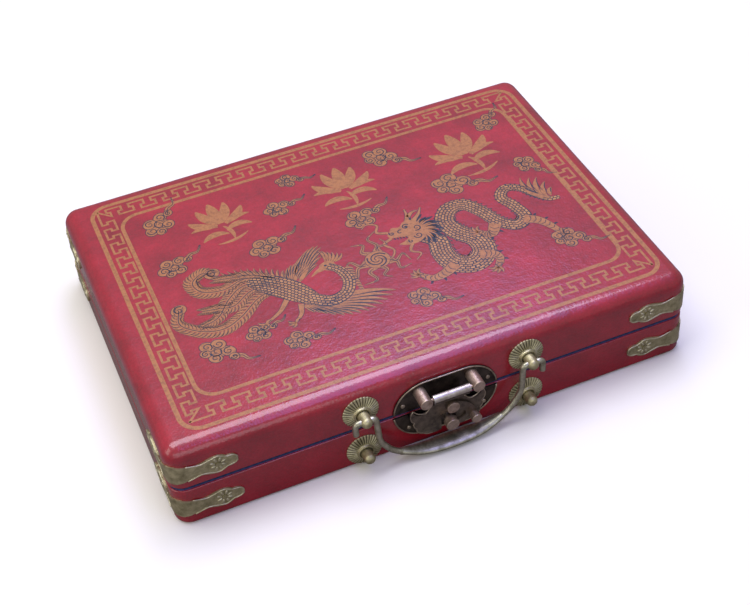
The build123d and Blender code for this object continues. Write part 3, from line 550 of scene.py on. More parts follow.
cloudLook = {
    # each cloud: x, y, size, angle; each lobe: place and radius as shares of the size
    "spots": (
        (-120, 80, 19, 0.9), (-22, 85, 13, -0.2), (-39, 58, 15, 0.2), (-124, 31, 17, 0.45),
        (-60, 22, 18, 0.35), (48, 80, 19, -0.6), (136, 83, 16, 0.8), (82, 27, 21, -0.3), (10, 21, 18, 0.4),
        (139, 24, 15, -1.0), (-123, -60, 18, -0.7), (-92, -56, 14, 0.3), (-71, -74, 15, -0.1),
        (16, -73, 16, -0.5), (128, -62, 17, -0.5),
    ),
    "lobes": ((0, 0, 0.32), (-0.38, 0.1, 0.25), (0.34, 0.14, 0.24), (-0.08, 0.33, 0.24), (0.08, -0.28, 0.22),
              (-0.3, -0.2, 0.18), (0.62, -0.04, 0.16)),
    "growth": 1.12, "flatness": 0.86, "edge": 0.5, "lobeStep": 0.001,
    "curlShare": 0.72, "curlTurns": 1.3, "curlStep": 2.1, "curlHalf": 0.42,
    "tail": ((0.55, -0.05), (0.85, 0.06), (1.12, -0.02), (1.42, 0.18)), "tailHalf": (0.11, 0.012),
    "tailDrop": 0.004, "vein": 0.26, "sides": 20, "tailStations": 16,
}


def addCloud(x, y, size, angle, order):
    # overlapping round lobes, each with a curl in it, and a trailing wisp
    look = cloudLook
    size = size * look["growth"]
    place = placer(x, y, size, angle)
    for k, (u, v, share) in enumerate(look["lobes"]):
        centre, r = place(u, v), size * share
        flat = r * look["flatness"]
        outlined(lambda grow, top: disc(centre, (r + grow, flat + grow), angle, top, look["sides"]),
                 look["lobeStep"] * k, look["edge"])
        curlStart = angle + look["curlStep"] * k + order
        navy.append(spiral(centre, r * look["curlShare"], look["curlTurns"], curlStart, look["curlHalf"],
                           layers["navy"], look["sides"]))
    tail = [place(u, v) for u, v in look["tail"]]
    halves = [share * size for share in look["tailHalf"]]
    path, _ = outlinedLine(tail, look["tailStations"], halves, -look["tailDrop"])
    navy.append(strip(path, look["vein"], layers["navy"]))


lotusLook = {
    # each flower: x, y, size, lean; each stroke: start, finish, bend and half width as shares of the size
    "spots": ((-81, 64, 44, 0.1), (12, 61, 46, -0.05), (105, 58, 50, 0.12)),
    "strokes": (
        ((0, -0.06), (0, 0.5), 0.0, 0.1), ((-0.02, -0.06), (-0.24, 0.42), 0.07, 0.085),
        ((0.02, -0.06), (0.24, 0.42), -0.07, 0.085), ((-0.06, -0.08), (-0.46, 0.2), 0.12, 0.08),
        ((0.06, -0.08), (0.46, 0.2), -0.12, 0.08), ((-0.08, -0.12), (-0.5, -0.04), -0.12, 0.05),
        ((0.08, -0.12), (0.5, -0.04), 0.12, 0.05), ((0, -0.14), (0.05, -0.52), 0.12, 0.036),
        ((0.02, -0.28), (0.44, -0.3), 0.22, 0.062), ((0.02, -0.36), (-0.42, -0.36), -0.2, 0.062),
        ((0.3, -0.46), (-0.24, -0.52), 0.1, 0.03),
    ),
    "strokeStep": 0.001, "stations": 18,
}


def addLotus(x, y, size, lean):
    # a gold lotus in broad brush strokes: pointed petals over a stem with two swept leaves
    look = lotusLook
    spot = placer(x, y, size, lean)
    for k, (start, finish, bend, half) in enumerate(look["strokes"]):
        gold.append(leaf(spot(*start), spot(*finish), bend, size * half,
                         layers["gold"] + look["strokeStep"] * k, look["stations"]))


featherLook = {
    "edgeShare": 0.8, "ribFoot": 0.35, "ribBend": 0.6, "ribHalf": 0.22, "ribStations": 8,
    "fanFoot": 0.26, "fanBend": 0.07, "fanStep": 0.0012,
    "barbFoot": 0.2, "barbReach": 1.3, "barbSweep": 1.5, "barbBend": 0.12, "barbHalf": 0.27,
    "barbStep": 0.0004, "swell": 1.05, "bandShare": 0.34, "bandLift": 0.02, "vein": 0.3,
}


def addFeather(start, finish, bend, halfWidth, lift=0.0):
    # a gold blade with a navy edge and a thin navy rib over its outer part
    look = featherLook
    outlined(lambda grow, top: leaf(start, finish, bend, halfWidth + look["edgeShare"] * grow, top), lift)
    ribFoot = np.asarray(start) * (1 - look["ribFoot"]) + np.asarray(finish) * look["ribFoot"]
    navy.append(leaf(ribFoot, finish, bend * look["ribBend"], halfWidth * look["ribHalf"], layers["navy"],
                     look["ribStations"]))


def addFeatherRow(count, root, rootStep, tip, tipStep, bend, halfWidth, lift):
    # like feathers in a row: roots and tips move on by a step each
    for k in range(count):
        addFeather(np.add(root, np.multiply(rootStep, k)), np.add(tip, np.multiply(tipStep, k)), bend,
                   halfWidth, lift)


def addFan(root, first, last, reach, count, halfWidth, lift):
    # feathers spread from a root; their length is the parabola through its start, middle and end values
    look = featherLook
    for k, t in enumerate(np.linspace(0, 1, count)):
        a = first + (last - first) * t
        far = reach[0] * (1 - t) * (1 - 2 * t) + reach[1] * 4 * t * (1 - t) + reach[2] * t * (2 * t - 1)
        addFeather(polar(root, look["fanFoot"] * far, a), polar(root, far, a), look["fanBend"], halfWidth,
                   lift + look["fanStep"] * k)


def fringedPlume(points, width, count, lift):
    # a long tail plume: barbs along both sides, then a gold band and its dark rib on top
    look = featherLook
    path = smoothLine(points, count)
    t = np.linspace(0, 1, count)
    half = width * (0.5 + 0.5 * np.sin(np.pi * np.clip(t * look["swell"], 0, 1)))
    across = sideways(path)
    along = np.gradient(path, axis=0)
    along /= np.linalg.norm(along, axis=1, keepdims=True)
    for k in range(1, count - 1):
        for side in (-1, 1):
            outward = across[k] * side * half[k]
            root = path[k] + outward * look["barbFoot"]
            tip = path[k] + outward * look["barbReach"] + along[k] * width * look["barbSweep"]
            addFeather(root, tip, look["barbBend"] * side, width * look["barbHalf"],
                       lift + look["barbStep"] * k)
    gold.append(strip(path, half * look["bandShare"], layers["gold"] + lift + look["bandLift"]))
    navy.append(strip(path, look["vein"], layers["navy"]))
    return path


phoenixLook = {
    # each plume: places and half width
    "plumes": (
        (((-68, -14), (-86, -8), (-100, -16), (-112, -30), (-124, -34)), 3.6),
        (((-66, -20), (-82, -24), (-98, -36), (-112, -42), (-126, -38), (-137, -26), (-134, -12)), 4.2),
        (((-66, -16), (-84, -15), (-99, -24), (-110, -22), (-120, -20)), 3.6),
        (((-66, -12), (-84, -2), (-100, -6), (-114, -2), (-118, 9), (-110, 16), (-103, 13)), 4.2),
        (((-66, -10), (-80, 0), (-92, 3), (-104, 6)), 3.2),
    ),
    # the eye at a plume's tip: radii as shares of the plume's half width, and its curl's radius as such a
    # share, turns, start and half width
    "plumeStep": 0.003, "eyeShares": (1.3, 1.1), "eyeTurn": 0.4, "eyeCurl": (0.95, 1.3, 0.8, 0.5),
    "back": {"count": 12, "root": (-84, -2), "step": (2.3, -1.2), "angle": (2.35, -0.11), "reach": 19},
    # each fan: root, first and last angle, lengths, count, half width, lift
    "fans": (
        ((-60, -27), 1.06, 0.6, (28, 47, 30), 9, 1.9, 0.004),
        ((-60, -25), 1.42, 0.8, (17, 25, 20), 7, 1.6, 0.02),
        ((-58, -42), -0.98, -0.25, (20, 45, 62), 11, 2.1, 0.004),
        ((-60, -40), -1.15, -0.3, (15, 25, 30), 8, 1.8, 0.022),
    ),
    "spine": ((-84, -6), (-75, -12), (-66, -20), (-57, -31), (-50, -41), (-44, -47)), "spineHalf": (2.2, 7.2),
    "neck": ((-52, -40), (-40, -48), (-28, -45), (-22, -34), (-24, -22), (-30, -15)), "neckHalf": (5.4, 2.6),
    # each row of feathers: count, first root, its step, first tip, its step, bend, half width, lift
    "breast": (9, (-21, -22), (0.2, -2.8), (-15, -25.2), (-0.2, -2.8), 0.15, 1.0, 0.032),
    "crest": (6, (-30, -10.5), (1.2, -0.5), (-31, 3), (2.9, -1.9), -0.15, 1.0, 0.03),
    "crown": ((-34, -17), (-35, -12.5), (-30, -10), (-25.5, -11.5), (-24.5, -17), (-29, -20)),
    "beak": ((-33, -13.5), (-39, -16), (-43.5, -20.5), (-38, -18.6), (-33.5, -17.8)),
    "eye": ((-31, -13.8), (1.1, 0.9)),
    "legs": (((-66, -34), (-74, -43), (-86, -50)), ((-59, -42), (-62, -51), (-68, -57))),
    "legHalf": (1.9, 0.8), "toes": (2.5, 3.2, 3.9, 0.4), "toeLength": 5.5,
}


def addPhoenixTail():
    # long plumes, the longest with an eye at the tip, and a row of short feathers over their roots
    look = phoenixLook
    for k, (points, width) in enumerate(look["plumes"]):
        path = fringedPlume(points, width, 8 + 4 * len(points), look["plumeStep"] * k)
        if len(points) > 5:
            radii = [width * share for share in look["eyeShares"]]
            outlined(lambda grow, top: disc(path[-1], (radii[0] + grow, radii[1] + grow), look["eyeTurn"],
                                            top), 0.022)
            share, turns, start, half = look["eyeCurl"]
            navy.append(spiral(path[-1], width * share, turns, start, half, layers["navy"]))
    back = look["back"]
    for k in range(back["count"]):
        root = np.add(back["root"], np.multiply(back["step"], k))
        tip = polar(root, back["reach"] - k, back["angle"][0] + back["angle"][1] * k)
        addFeather(root, tip, 0.1, 1.0, 0.001 * k)


def addPhoenix():
    # a fenghuang in flight, its head turned back, with broad plumes that sweep to the left
    look = phoenixLook
    addPhoenixTail()
    for fan in look["fans"]:
        addFan(*fan)
    stations = 30
    t = np.linspace(0, 1, stations)
    spineHalf = look["spineHalf"][0] + look["spineHalf"][1] * np.sin(np.pi * t ** 0.8)
    neckHalf = look["neckHalf"][0] - look["neckHalf"][1] * t
    bodyParts = [scaledBody(smoothLine(look["spine"], stations), spineHalf, layers["gold"] + 0.032),
                 scaledBody(smoothLine(look["neck"], stations), neckHalf, layers["gold"] + 0.034)]
    makePiece("lidPrintPhoenixBody", [part for part, _ in bodyParts], scaleInk, "lid",
              uv=[uv for _, uv in bodyParts])
    addFeatherRow(*look["breast"])
    outlined(lambda grow, top: patch(look["crown"], top), 0.033)
    outlined(lambda grow, top: patch(look["beak"], top, 30), 0.032)
    navy.append(disc(*look["eye"], 0, layers["navy"] + 0.004, 12))
    addFeatherRow(*look["crest"])
    for leg in look["legs"]:
        outlinedLine(leg, 12, look["legHalf"], 0.026)
        for a in look["toes"]:
            addFeather(leg[-1], polar(leg[-1], look["toeLength"], a), 0.2, 0.9, 0.027)


dragonLook = {
    "back": (
        (40, -14), (47, -24), (45, -38), (48, -51), (60, -57), (71, -49), (72, -35), (63, -22), (60, -8),
        (68, 3), (79, 3), (87, -9), (93, -25), (103, -34), (112, -28), (110, -14), (106, -2), (113, 6),
        (122, 2), (128, -9), (135, -18), (143, -20),
    ),
    "stations": 170, "half": 6.6, "tailHalf": 1.6, "neckShare": 0.72, "swell": 2.2, "taperPower": 2.4,
    "spineReach": (2.9, 1.3), "spineSwap": 40, "spineSweep": 1.5, "coilLift": 0.022,
    "legs": (
        ((48, -52), (38, -57), (29, -58), (22, -51)), ((67, -50), (75, -54), (77, -60), (72, -67)),
        ((110, -30), (118, -36), (123, -45), (127, -57)), ((90, -26), (84, -34), (80, -33), (76, -29)),
    ),
    "legHalf": (4.4, 1.9), "foldShare": 0.8, "foldHalf": 0.26, "hairReach": 3.2, "clawSize": 6.4,
    "clawPad": (0.42, 0.36), "clawTurns": (-1.15, -0.5, 0.15, 0.8, 2.6), "clawHalf": 0.17,
    "tailTuft": ((24, 1.5), (27, 1.72), (23, 1.28), (18, 1.0), (17, 1.98), (13, 0.6)),
    # each ring of the mane: count, reach, half width
    "mane": ((15, 15.5, 1.8), (13, 11.5, 1.6)), "maneArc": (1.75, 3.5),
    "skull": ((21, -1.5), (24, 1.8), (29, 0.5), (33, 4), (38, 5), (43, 0), (45, -8), (42, -16), (35, -20),
              (28, -19.5), (22.5, -16.5), (27, -15), (31, -12), (26, -9.5), (20, -8), (18.5, -4.5)),
    # each curl of the face: centre, radius, start, turns
    "curls": (((33.5, -1), 2.9, 0.5, 1.2), ((22, -3.6), 2.0, 2.2, 1.2), ((40, -5), 3.2, 4.0, 1.3),
              ((28, -4.6), 2.4, 1.0, 0.8), ((38, -13), 3.2, 3.0, 1.3), ((31, -16.6), 1.8, 2.0, 1.0)),
    "eye": ((33.5, -1), (1.1, 1.0)), "teeth": 5,
    "horns": (((36, 3), (39, 10), (40, 17)), ((40, 2), (47, 8), (51, 14)), ((39, 8), (43.5, 11.5), (48, 12))),
    "hornHalf": (1.7, 0.35),
    "whiskers": (((20, -2), (13, 2), (16, 9), (10, 13), (5, 10)),
                 ((20, -8), (13, -12), (17, -20), (12, -27), (6, -25)),
                 ((31, -19), (27, -26), (32, -31), (27, -36))),
    "whiskerHalf": (1.2, 0.3),
}


def addDragonBack(path, half, t):
    # short spines along both edges of the body: long ones on the side that is its back there
    look = dragonLook
    across = sideways(path)
    step = np.gradient(path, axis=0)
    step /= np.linalg.norm(step, axis=1, keepdims=True)
    for k in range(2, len(path) - 8, 2):
        for side in (-1, 1):
            root = path[k] + across[k] * side * (half[k] - 0.6)
            isBack = side * (-1) ** (k // look["spineSwap"]) > 0
            reach = look["spineReach"][0 if isBack else 1] * (1 - 0.4 * t[k])
            tip = root + across[k] * side * reach + step[k] * look["spineSweep"]
            navy.append(leaf(root, tip, 0.15, 0.75, layers["low"], 7))
            gold.append(leaf(root, root + (tip - root) * 0.7, 0.15, 0.3, layers["gold"] - 0.01, 6))


def addDragonLeg(leg):
    # a tapering leg with folds across it, hair behind it and a foot of five claws
    look = dragonLook
    stations = 18
    line, width = outlinedLine(leg, stations, look["legHalf"], 0.026)
    side = sideways(line)
    for k in range(2, stations - 1, 2):
        reach = side[k] * width[k] * look["foldShare"]
        fold = [line[k] - reach, line[k] + (line[k] - line[k - 1]) * 0.7, line[k] + reach]
        navy.append(strip(smoothLine(fold, 7), look["foldHalf"], layers["navy"]))
    for k in range(4, stations - 2, 4):
        root, tip = line[k] + side[k] * width[k] * 0.7, line[k] + side[k] * (width[k] + look["hairReach"])
        navy.append(leaf(root, tip, 0.2, 0.9, layers["low"], 8))
    foot, heading = line[-1], math.atan2(*(line[-1] - line[-3])[::-1])
    size = look["clawSize"]
    pad = [size * share for share in look["clawPad"]]
    outlined(lambda grow, top: disc(foot, (pad[0] + grow, pad[1] + grow), heading, top, 16), 0.034)
    for turn in look["clawTurns"]:
        addFeather(foot, polar(foot, size, heading + turn), 0.16, size * look["clawHalf"], 0.036)


def addDragonMane():
    # two rings of pointed locks that spread over an arc behind the head, every second one longer
    look = dragonLook
    for ring, (count, reach, half) in enumerate(look["mane"]):
        root = np.array([40.0 - 2 * ring, -9.0])
        for k in range(count):
            angle = look["maneArc"][0] - look["maneArc"][1] * k / count
            tip = polar(root, reach * (1 + 0.15 * (k % 2)), angle)
            navy.append(leaf(root, tip, 0.14, half, layers["gold"] + 0.03 + 0.002 * ring))
            gold.append(leaf(root, (root + 4 * tip) / 5, 0.14, half * 0.36,
                             layers["gold"] + 0.0345 + 0.001 * ring))


def addDragonHead():
    # the skull's outline, filled, with curls, an eye, teeth, horns and whiskers
    look = dragonLook
    outlined(lambda grow, top: patch(look["skull"], top, 110), 0.036)
    for centre, r, start, turns in look["curls"]:
        navy.append(spiral(centre, r, turns, start, 0.5, layers["navy"] + 0.003))
    navy.append(disc(*look["eye"], 0, layers["navy"] + 0.004, 12))
    for k in range(look["teeth"]):
        gum, tip = (21.5 + 2 * k, -8.4 - 0.5 * k), (22.2 + 2 * k, -11 - 0.4 * k)
        navy.append(leaf(gum, tip, 0.0, 0.6, layers["navy"], 6))
    for horn in look["horns"]:
        outlinedLine(horn, 12, look["hornHalf"], 0.034)
    for whisker in look["whiskers"]:
        outlinedLine(whisker, 24, look["whiskerHalf"], 0.03, 0.7)


def addDragon():
    # a dragon in coils; its body is widest behind the neck and thins by a power of the length
    look = dragonLook
    path = smoothLine(look["back"], look["stations"])
    t = np.linspace(0, 1, look["stations"])
    rise = look["neckShare"] + (1 - look["neckShare"]) * np.sin(np.pi * np.clip(t * look["swell"], 0, 1))
    half = look["half"] * rise * (1 - t ** look["taperPower"]) + look["tailHalf"]
    addDragonBack(path, half, t)
    dragon, uv = scaledBody(path, half, layers["gold"] + np.linspace(look["coilLift"], 0.0, look["stations"]))
    for leg in look["legs"]:
        addDragonLeg(leg)
    for k, (reach, turn) in enumerate(look["tailTuft"]):
        addFeather((132 + 1.3 * k, -18 + 0.4 * k), polar((132, -15), reach, turn), 0.16, 1.7, 0.002 * k)
    addDragonMane()
    addDragonHead()
    makePiece("lidPrintDragonBody", [dragon], scaleInk, "lid", uv=[uv])


pearlLook = {
    "centre": (3, -24), "radius": 8.6,
    # each flame: angle, reach, swing to the sides, half width at its foot
    "flames": ((1.9, 15, 0.5, 2.0), (1.4, 21, -0.4, 1.9), (0.95, 13, 0.5, 1.7), (3.0, 16, 0.55, 2.0),
               (3.55, 23, -0.5, 2.0), (-0.25, 14, -0.6, 1.8), (-0.8, 15, 0.5, 1.9), (-2.1, 18, -0.55, 2.0),
               (4.7, 12, 0.4, 1.7)),
    # along a flame: share of its reach past the pearl, share of its swing
    "bends": ((0.3, 0.45), (0.65, -0.25), (1.0, 0.35)),
    "flameStep": 0.001, "vein": 0.26, "curlStarts": (0.4, 2.5, 4.6), "curlShare": 0.85,
}


def addPearl():
    # the pearl between the two, with flames that rise and curl from it
    look = pearlLook
    centre, radius = look["centre"], look["radius"]
    for k, (angle, reach, swing, half) in enumerate(look["flames"]):
        places = [polar(centre, radius * 0.9, angle)]
        places += [polar(centre, radius + reach * far, angle + swing * bend) for far, bend in look["bends"]]
        line, _ = outlinedLine(places, 20, (half, 0.2), look["flameStep"] * k, 0.8)
        navy.append(strip(line[2:16], look["vein"], layers["navy"]))
    outlined(lambda grow, top: disc(centre, (radius + grow, radius + grow), 0, top, 36), 0.012)
    for start in look["curlStarts"]:
        navy.append(spiral(centre, radius * look["curlShare"], 0.8, start, 0.55, layers["navy"]))


addBorder()
for order, spot in enumerate(cloudLook["spots"]):
    addCloud(*spot, order)
for spot in lotusLook["spots"]:
    addLotus(*spot)
addPhoenix()
addDragon()
addPearl()
makePiece("lidPrintGold", gold, goldInk, "lid")
makePiece("lidPrintNavy", navy, navyInk, "lid")
print("print laid on the lid:", len(gold), "gold and", len(navy), "navy strokes")


flowerLook = {"reach": 31.5, "petals": 8, "petalLength": 2.1, "petalWidth": 1.05, "petalHeight": 0.75,
              "ring": 3.7, "bracketFace": 0.8, "levels": {"base": 15.6, "lid": 46.4}}


def dome(radii, across=10, around=14):
    # a closed ellipsoid from latitude and longitude
    lat = np.linspace(-np.pi / 2, np.pi / 2, across)[1:-1][:, None]
    lon = np.linspace(0, 2 * np.pi, around, endpoint=False)[None, :]
    shell = np.stack([np.cos(lat) * np.cos(lon), np.cos(lat) * np.sin(lon), np.sin(lat) + 0 * lon], -1)
    points = np.vstack([shell.reshape(-1, 3), [(0, 0, -1), (0, 0, 1)]]) * radii
    rows = across - 2
    faces = [(r * around + k, r * around + (k + 1) % around, (r + 1) * around + (k + 1) % around,
              (r + 1) * around + k) for r in range(rows - 1) for k in range(around)]
    bottom, top = rows * around, rows * around + 1
    faces += [(bottom, (k + 1) % around, k) for k in range(around)]
    faces += [(top, (rows - 1) * around + k, (rows - 1) * around + (k + 1) % around) for k in range(around)]
    return points, faces


def flowerParts(origin, along, up, out):
    # eight petals round a corner pin, each a low dome that points away from the middle
    look = flowerLook
    base, faces = dome((look["petalLength"], look["petalWidth"], look["petalHeight"]), 7, 10)
    parts = []
    for k in range(look["petals"]):
        a = 2 * np.pi * (k + 0.5) / look["petals"]
        radial = np.array([math.cos(a), math.sin(a)])
        u = (look["ring"] + base[:, 0]) * radial[0] - base[:, 1] * radial[1]
        v = (look["ring"] + base[:, 0]) * radial[1] + base[:, 1] * radial[0]
        parts.append((origin + u[:, None] * along + v[:, None] * up + base[:, 2:] * out, faces))
    return parts


leafLook = {"outline": ((11.5, 6.9), (20.0, 5.0), (26.0, 6.1), (31.5, 7.4), (35.2, 5.8), (37.4, 4.8),
                        (41.4, 4.3), (43.6, 2.6), (44.5, 0.0)),
            "inset": 0.62, "tipHeight": 1.5, "bead": 0.5}


def bead(frameOf, path, out, radius, closed=False, ring=8):
    # a half-sunk round bar along a path of (along, up) places on a face, at a distance out from the face
    origin, along, up, outward = frameOf
    p = np.asarray(path, float)
    across = sideways(p, closed)
    turn = np.linspace(0, 2 * np.pi, ring, endpoint=False)
    flat = p[:, None] + across[:, None] * (radius * np.cos(turn))[None, :, None]
    depth = np.broadcast_to(out + radius * np.sin(turn), flat.shape[:2])
    points = origin + flat[..., :1] * along + flat[..., 1:] * up + depth[..., None] * outward
    return points.reshape(-1, 3), tubeFaces(len(p), ring, closed)


def leafFrames(level):
    # the face of each bracket leaf: a place on the case's corner, the way to the tip, up and out
    frames = []
    for side in (-1, 1):
        for end in (-1, 1):
            corner = np.array([side * caseSize["halfWidth"], end * caseSize["halfDepth"], level])
            frames.append((corner, np.array([-side, 0, 0.0]), np.array([0, 0, 1.0]), np.array([0, end, 0.0])))
            frames.append((corner, np.array([0, -end, 0.0]), np.array([0, 0, 1.0]), np.array([side, 0, 0.0])))
    return frames


def leafEdge():
    # the leaf's outline, drawn a little inwards, from the strap round the tip and back
    upper = smoothLine(leafLook["outline"], 60)
    upper[:, 1] -= leafLook["inset"] * (upper[:, 1] > leafLook["tipHeight"])
    upper[:, 0] -= leafLook["inset"] * (upper[:, 1] <= leafLook["tipHeight"])
    return np.vstack([upper, upper[-2::-1] * (1, -1)])


# the flowers and the edge beads take the lighter edge brass: painted highlight
for half, level in flowerLook["levels"].items():
    stamped, edges = [], []
    face = flowerLook["bracketFace"]
    for corner, along, up, outward in leafFrames(level):
        stamped += flowerParts(corner + along * flowerLook["reach"] + outward * face, along, up, outward)
        edges.append(bead((corner, along, up, outward), leafEdge(), face, leafLook["bead"]))
    makePiece(half + "BracketFlowers", stamped, metals["edgeHighlightBrass"], half, True)
    makePiece(half + "BracketEdges", edges, metals["edgeHighlightBrass"], half, True)

hardwareX = 2.6
plateLook = {"width": 73.0, "height": 46.0, "seam": 32.6, "gap": 1.6, "face": 1.0, "rim": 0.55, "inset": 0.6}
frontFrame = np.array([(hardwareX, -caseSize["halfDepth"], 0), (1, 0, 0), (0, 0, 1), (0, -1, 0)], float)


def platePath(turn):
    # the oval's edge on one side of the seam, from left to right
    look = plateLook
    r = look["height"] / 2 - look["inset"]
    straight = (look["width"] - look["height"]) / 2
    start = math.asin((look["gap"] + 0.1) / r)
    arc = np.linspace(start, np.pi / 2, 16)
    right = np.stack([straight + r * np.cos(arc), look["seam"] + turn * r * np.sin(arc)], 1)
    left = right * (-1, 1)
    return np.vstack([left, right[::-1]])


# the plate's rim bead takes the lighter edge bronze: painted highlight
for turn, half, name in ((1, "lid", "lockPlateRimUpper"), (-1, "base", "lockPlateRimLower")):
    makePiece(name, [bead(frontFrame, platePath(turn), plateLook["face"], plateLook["rim"])],
              metals["edgeHighlightBronze"], half, True)

rosetteLook = {"spacing": 114.6, "levels": {"lid": 47.8, "base": 13.2}, "petals": 32, "radius": 12.25,
               "scallop": 0.35, "petalRise": 0.85, "least": 0.2, "rim": 0.75, "dome": 2.45, "ring": 5.7,
               "bore": 4.4, "ringTop": 4.2, "web": 1.2}


def rosetteSurface(centreX, level):
    # a disc of convex petals: the dome's line less a share of the rise that grows towards the grooves, where
    # the petal's swell, a power of the absolute sine of its angle, is 0; the edge is scalloped the same way
    look = rosetteLook
    angle = np.linspace(0, 2 * np.pi, look["petals"] * 10, endpoint=False)[None, :]
    swell = np.abs(np.sin(look["petals"] * angle / 2)) ** 0.6
    t = np.linspace(0, 1, 16)[:, None]
    edge = look["radius"] - look["scallop"] * (1 - swell)
    radius = look["ring"] + (edge - look["ring"]) * t
    line = look["dome"] + (look["rim"] - look["dome"]) * t ** 1.5
    fade = np.sin(np.pi * np.clip(0.12 + t * 0.8, 0, 1)) ** 0.5
    height = np.maximum(line - look["petalRise"] * (1 - swell) * fade, look["least"])
    rows = [(radius[k], height[k]) for k in range(len(t) - 1, -1, -1)]
    plain = np.ones_like(angle[0])
    ring = ((look["ring"], look["ringTop"] - 0.5), (look["ring"] - 0.15, look["ringTop"] - 0.15),
            (look["ring"] - 0.5, look["ringTop"]), (look["bore"] + 0.4, look["ringTop"]),
            (look["bore"] + 0.1, look["ringTop"] - 0.12), (look["bore"], look["ringTop"] - 0.4),
            (look["bore"], look["web"]), (0.05, look["web"]))
    rows = [(edge[0], 0 * plain)] + rows + [(r * plain, h * plain) for r, h in ring]
    r = np.stack([row[0] for row in rows])
    h = np.stack([row[1] for row in rows])
    points = np.stack([centreX + r * np.cos(angle), -caseSize["halfDepth"] - h,
                       level + r * np.sin(angle)], -1)
    # the UV's first value: 1 on a petal's crown, falling towards 0 in a groove, where the material paints
    # shade
    crown = np.ones(r.shape)
    crown[:len(t) + 1] = 1 - (1 - swell) * np.vstack([fade[-1:], fade[::-1]])
    uv = np.stack([crown, np.zeros(r.shape)], -1)
    return (points.reshape(-1, 3), tubeFaces(len(rows), angle.shape[1])), uv.reshape(-1, 2)


for half, level in rosetteLook["levels"].items():
    for side, word in ((-1, "left"), (1, "right")):
        surface, uv = rosetteSurface(hardwareX + side * rosetteLook["spacing"] / 2, level)
        rosette = makePiece(half + word.capitalize() + "Rosette", [surface], flutedBrass, half,
                            True, [uv])
        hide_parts(half + "_rosette_" + word)

flapLook = {"half": 26.6, "reach": 37.6, "barrel": 48.3, "beadDepth": 4.5, "bead": 0.42, "inset": 0.5,
            "outline": ((0.44, 0.356), (0.56, 0.455), (0.647, 0.473), (0.8, 0.43), (0.925, 0.346),
                        (0.985, 0.41), (1.0, 0.489), (0.97, 0.57), (0.906, 0.622), (0.93, 0.66),
                        (0.921, 0.707), (0.89, 0.755), (0.857, 0.782), (0.855, 0.84), (0.82, 0.88),
                        (0.76, 0.915), (0.699, 0.934), (0.6, 0.985), (0.444, 1.0))}


def flapEdge(side):
    # one wing's edge from the neck to the belly, as shares of the half span and of the reach below the barrel
    look = flapLook
    shares = np.array(look["outline"])
    line = smoothLine(shares * (look["half"] - look["inset"], -(look["reach"] - look["inset"])), 90)
    return line * (side, 1) + (0, look["barrel"])


# the flap's edge beads take the lighter edge bronze: painted highlight
flapEdges = [bead(frontFrame, flapEdge(side), flapLook["beadDepth"], flapLook["bead"]) for side in (-1, 1)]
makePiece("haspFlapEdges", flapEdges, metals["edgeHighlightBronze"], "hasp", True)

seamLook = {"outer": (178.9, 129.9, 9.4), "inner": (174.2, 125.2, 4.6), "low": 31.15, "high": 31.45}


def seamCloth():
    # the lining's turned edge that covers the base's rim under the lid
    rings = []
    for key, level in (("outer", "low"), ("outer", "high"), ("inner", "high"), ("inner", "low")):
        halfX, halfY, radius = seamLook[key]
        ring = roundedRing((-halfX, halfX, -halfY, halfY), radius)
        rings.append(np.column_stack([ring, np.full(len(ring), seamLook[level])]))
    points = np.stack(rings, 1)
    return points.reshape(-1, 3), tubeFaces(len(points), 4, True)


makePiece("baseRimCloth", [seamCloth()], rimCloth, "base")
print("brass details and the rim's cloth made")


stageLook = {"side": 6.0, "floor": "#FDF9EC", "floorUnseen": "#827C78", "floorRoughness": 0.9,
             "sky": "#E9ECF4", "skyStrength": 0.38}


def makeStage():
    # a flat pale sheet that looks darker to the light it throws back, and an even sky, white to the camera
    side = stageLook["side"]
    mesh = bpy.data.meshes.new("floorSheet")
    corners = [(-side, -side, 0), (side, -side, 0), (side, side, 0), (-side, side, 0)]
    mesh.from_pydata(corners, [], [(0, 1, 2, 3)])
    floor = bpy.data.objects.new("floorSheet", mesh)
    bpy.context.scene.collection.objects.link(floor)
    material = bpy.data.materials.new("palePaperFloor")
    tree = clearTree(material)
    seen = addNode(tree, "ShaderNodeLightPath")
    shown = addNode(tree, "ShaderNodeBsdfPrincipled",
                    values={"Base Color": toLinear(stageLook["floor"]),
                            "Roughness": stageLook["floorRoughness"]})
    unseen = addNode(tree, "ShaderNodeBsdfDiffuse", values={"Color": toLinear(stageLook["floorUnseen"])})
    mix = addNode(tree, "ShaderNodeMixShader", links={0: seen.outputs["Is Camera Ray"], 1: unseen.outputs[0],
                                                       2: shown.outputs[0]})
    closeMaterial(tree, mix)
    mesh.materials.append(material)

    world = bpy.data.worlds.new("softSky")
    bpy.context.scene.world = world
    tree = clearTree(world)
    seen = addNode(tree, "ShaderNodeLightPath")
    light = addNode(tree, "ShaderNodeBackground",
                    values={"Color": toLinear(stageLook["sky"]), "Strength": stageLook["skyStrength"]})
    shown = addNode(tree, "ShaderNodeBackground", values={"Color": (1, 1, 1, 1), "Strength": 1.0})
    mix = addNode(tree, "ShaderNodeMixShader", links={0: seen.outputs["Is Camera Ray"], 1: light.outputs[0],
                                                       2: shown.outputs[0]})
    addNode(tree, "ShaderNodeOutputWorld", links={"Surface": mix.outputs[0]})


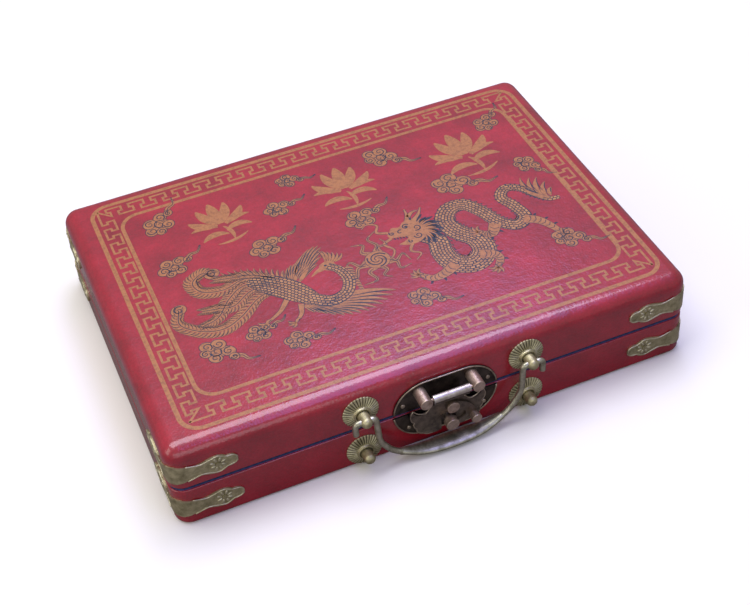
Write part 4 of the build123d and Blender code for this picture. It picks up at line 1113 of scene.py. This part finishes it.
lampLooks = {
    # each lamp: place, aim, size, power, colour
    "topSoftbox": ((-0.1, 0.35, 1.7), (0, 0.1, 0), (1.9, 1.05), 27.5, "#EDEEFA"),
    "skyStrip": ((0.45, -0.08, 1.65), (0.1, -0.05, 0), (3.0, 0.6), 15.0, "#9C98FA"),
    "frontSoftbox": ((-0.5, -1.7, 0.75), (0, -0.13, 0.03), (1.8, 0.8), 5.5, "#F2F3FA"),
    "leftSoftbox": ((-1.6, -0.2, 0.9), (0, 0, 0.02), (0.7, 1.2), 5.0, "#FFF6EE"),
}


def addLamp(name, place, aim, size, power, colour):
    # a rectangle of light that faces its aim
    lamp = bpy.data.lights.new(name, "AREA")
    lamp.shape = "RECTANGLE"
    lamp.size, lamp.size_y = size
    lamp.energy = power
    lamp.color = toLinear(colour)[:3]
    holder = bpy.data.objects.new(name, lamp)
    holder.location = place
    holder.rotation_euler = (Vector(aim) - Vector(place)).to_track_quat("-Z", "Y").to_euler()
    bpy.context.scene.collection.objects.link(holder)


cameraFit = {"azimuth": -19.2, "elevation": 42.63, "roll": -5.03, "distance": 1.03673,
             "target": (0.0089, 0.0061, 0.0), "focalPixels": 1437.83, "widthPixels": 750, "sensor": 36.0}


def addCamera():
    # the photograph's camera: it looks back along its direction at the target and is rolled about that line
    fit = cameraFit
    azimuth, elevation, roll = (math.radians(fit[key]) for key in ("azimuth", "elevation", "roll"))
    back = Vector((math.sin(azimuth) * math.cos(elevation), -math.cos(azimuth) * math.cos(elevation),
                   math.sin(elevation)))
    right = (-back).cross(Vector((0, 0, 1))).normalized()
    up = right.cross(-back)
    turnedRight = right * math.cos(roll) + up * math.sin(roll)
    turnedUp = up * math.cos(roll) - right * math.sin(roll)
    data = bpy.data.cameras.new("photoCamera")
    data.sensor_width = fit["sensor"]
    data.sensor_fit = "HORIZONTAL"
    data.lens = fit["focalPixels"] / fit["widthPixels"] * fit["sensor"]
    camera = bpy.data.objects.new("photoCamera", data)
    place = Vector(fit["target"]) + back * fit["distance"]
    camera.matrix_world = Matrix((
        (turnedRight.x, turnedUp.x, back.x, place.x),
        (turnedRight.y, turnedUp.y, back.y, place.y),
        (turnedRight.z, turnedUp.z, back.z, place.z),
        (0, 0, 0, 1),
    ))
    bpy.context.scene.collection.objects.link(camera)
    bpy.context.scene.camera = camera


makeStage()
for name, look in lampLooks.items():
    addLamp(name, *look)
addCamera()
bpy.context.scene.view_settings.view_transform = "Standard"
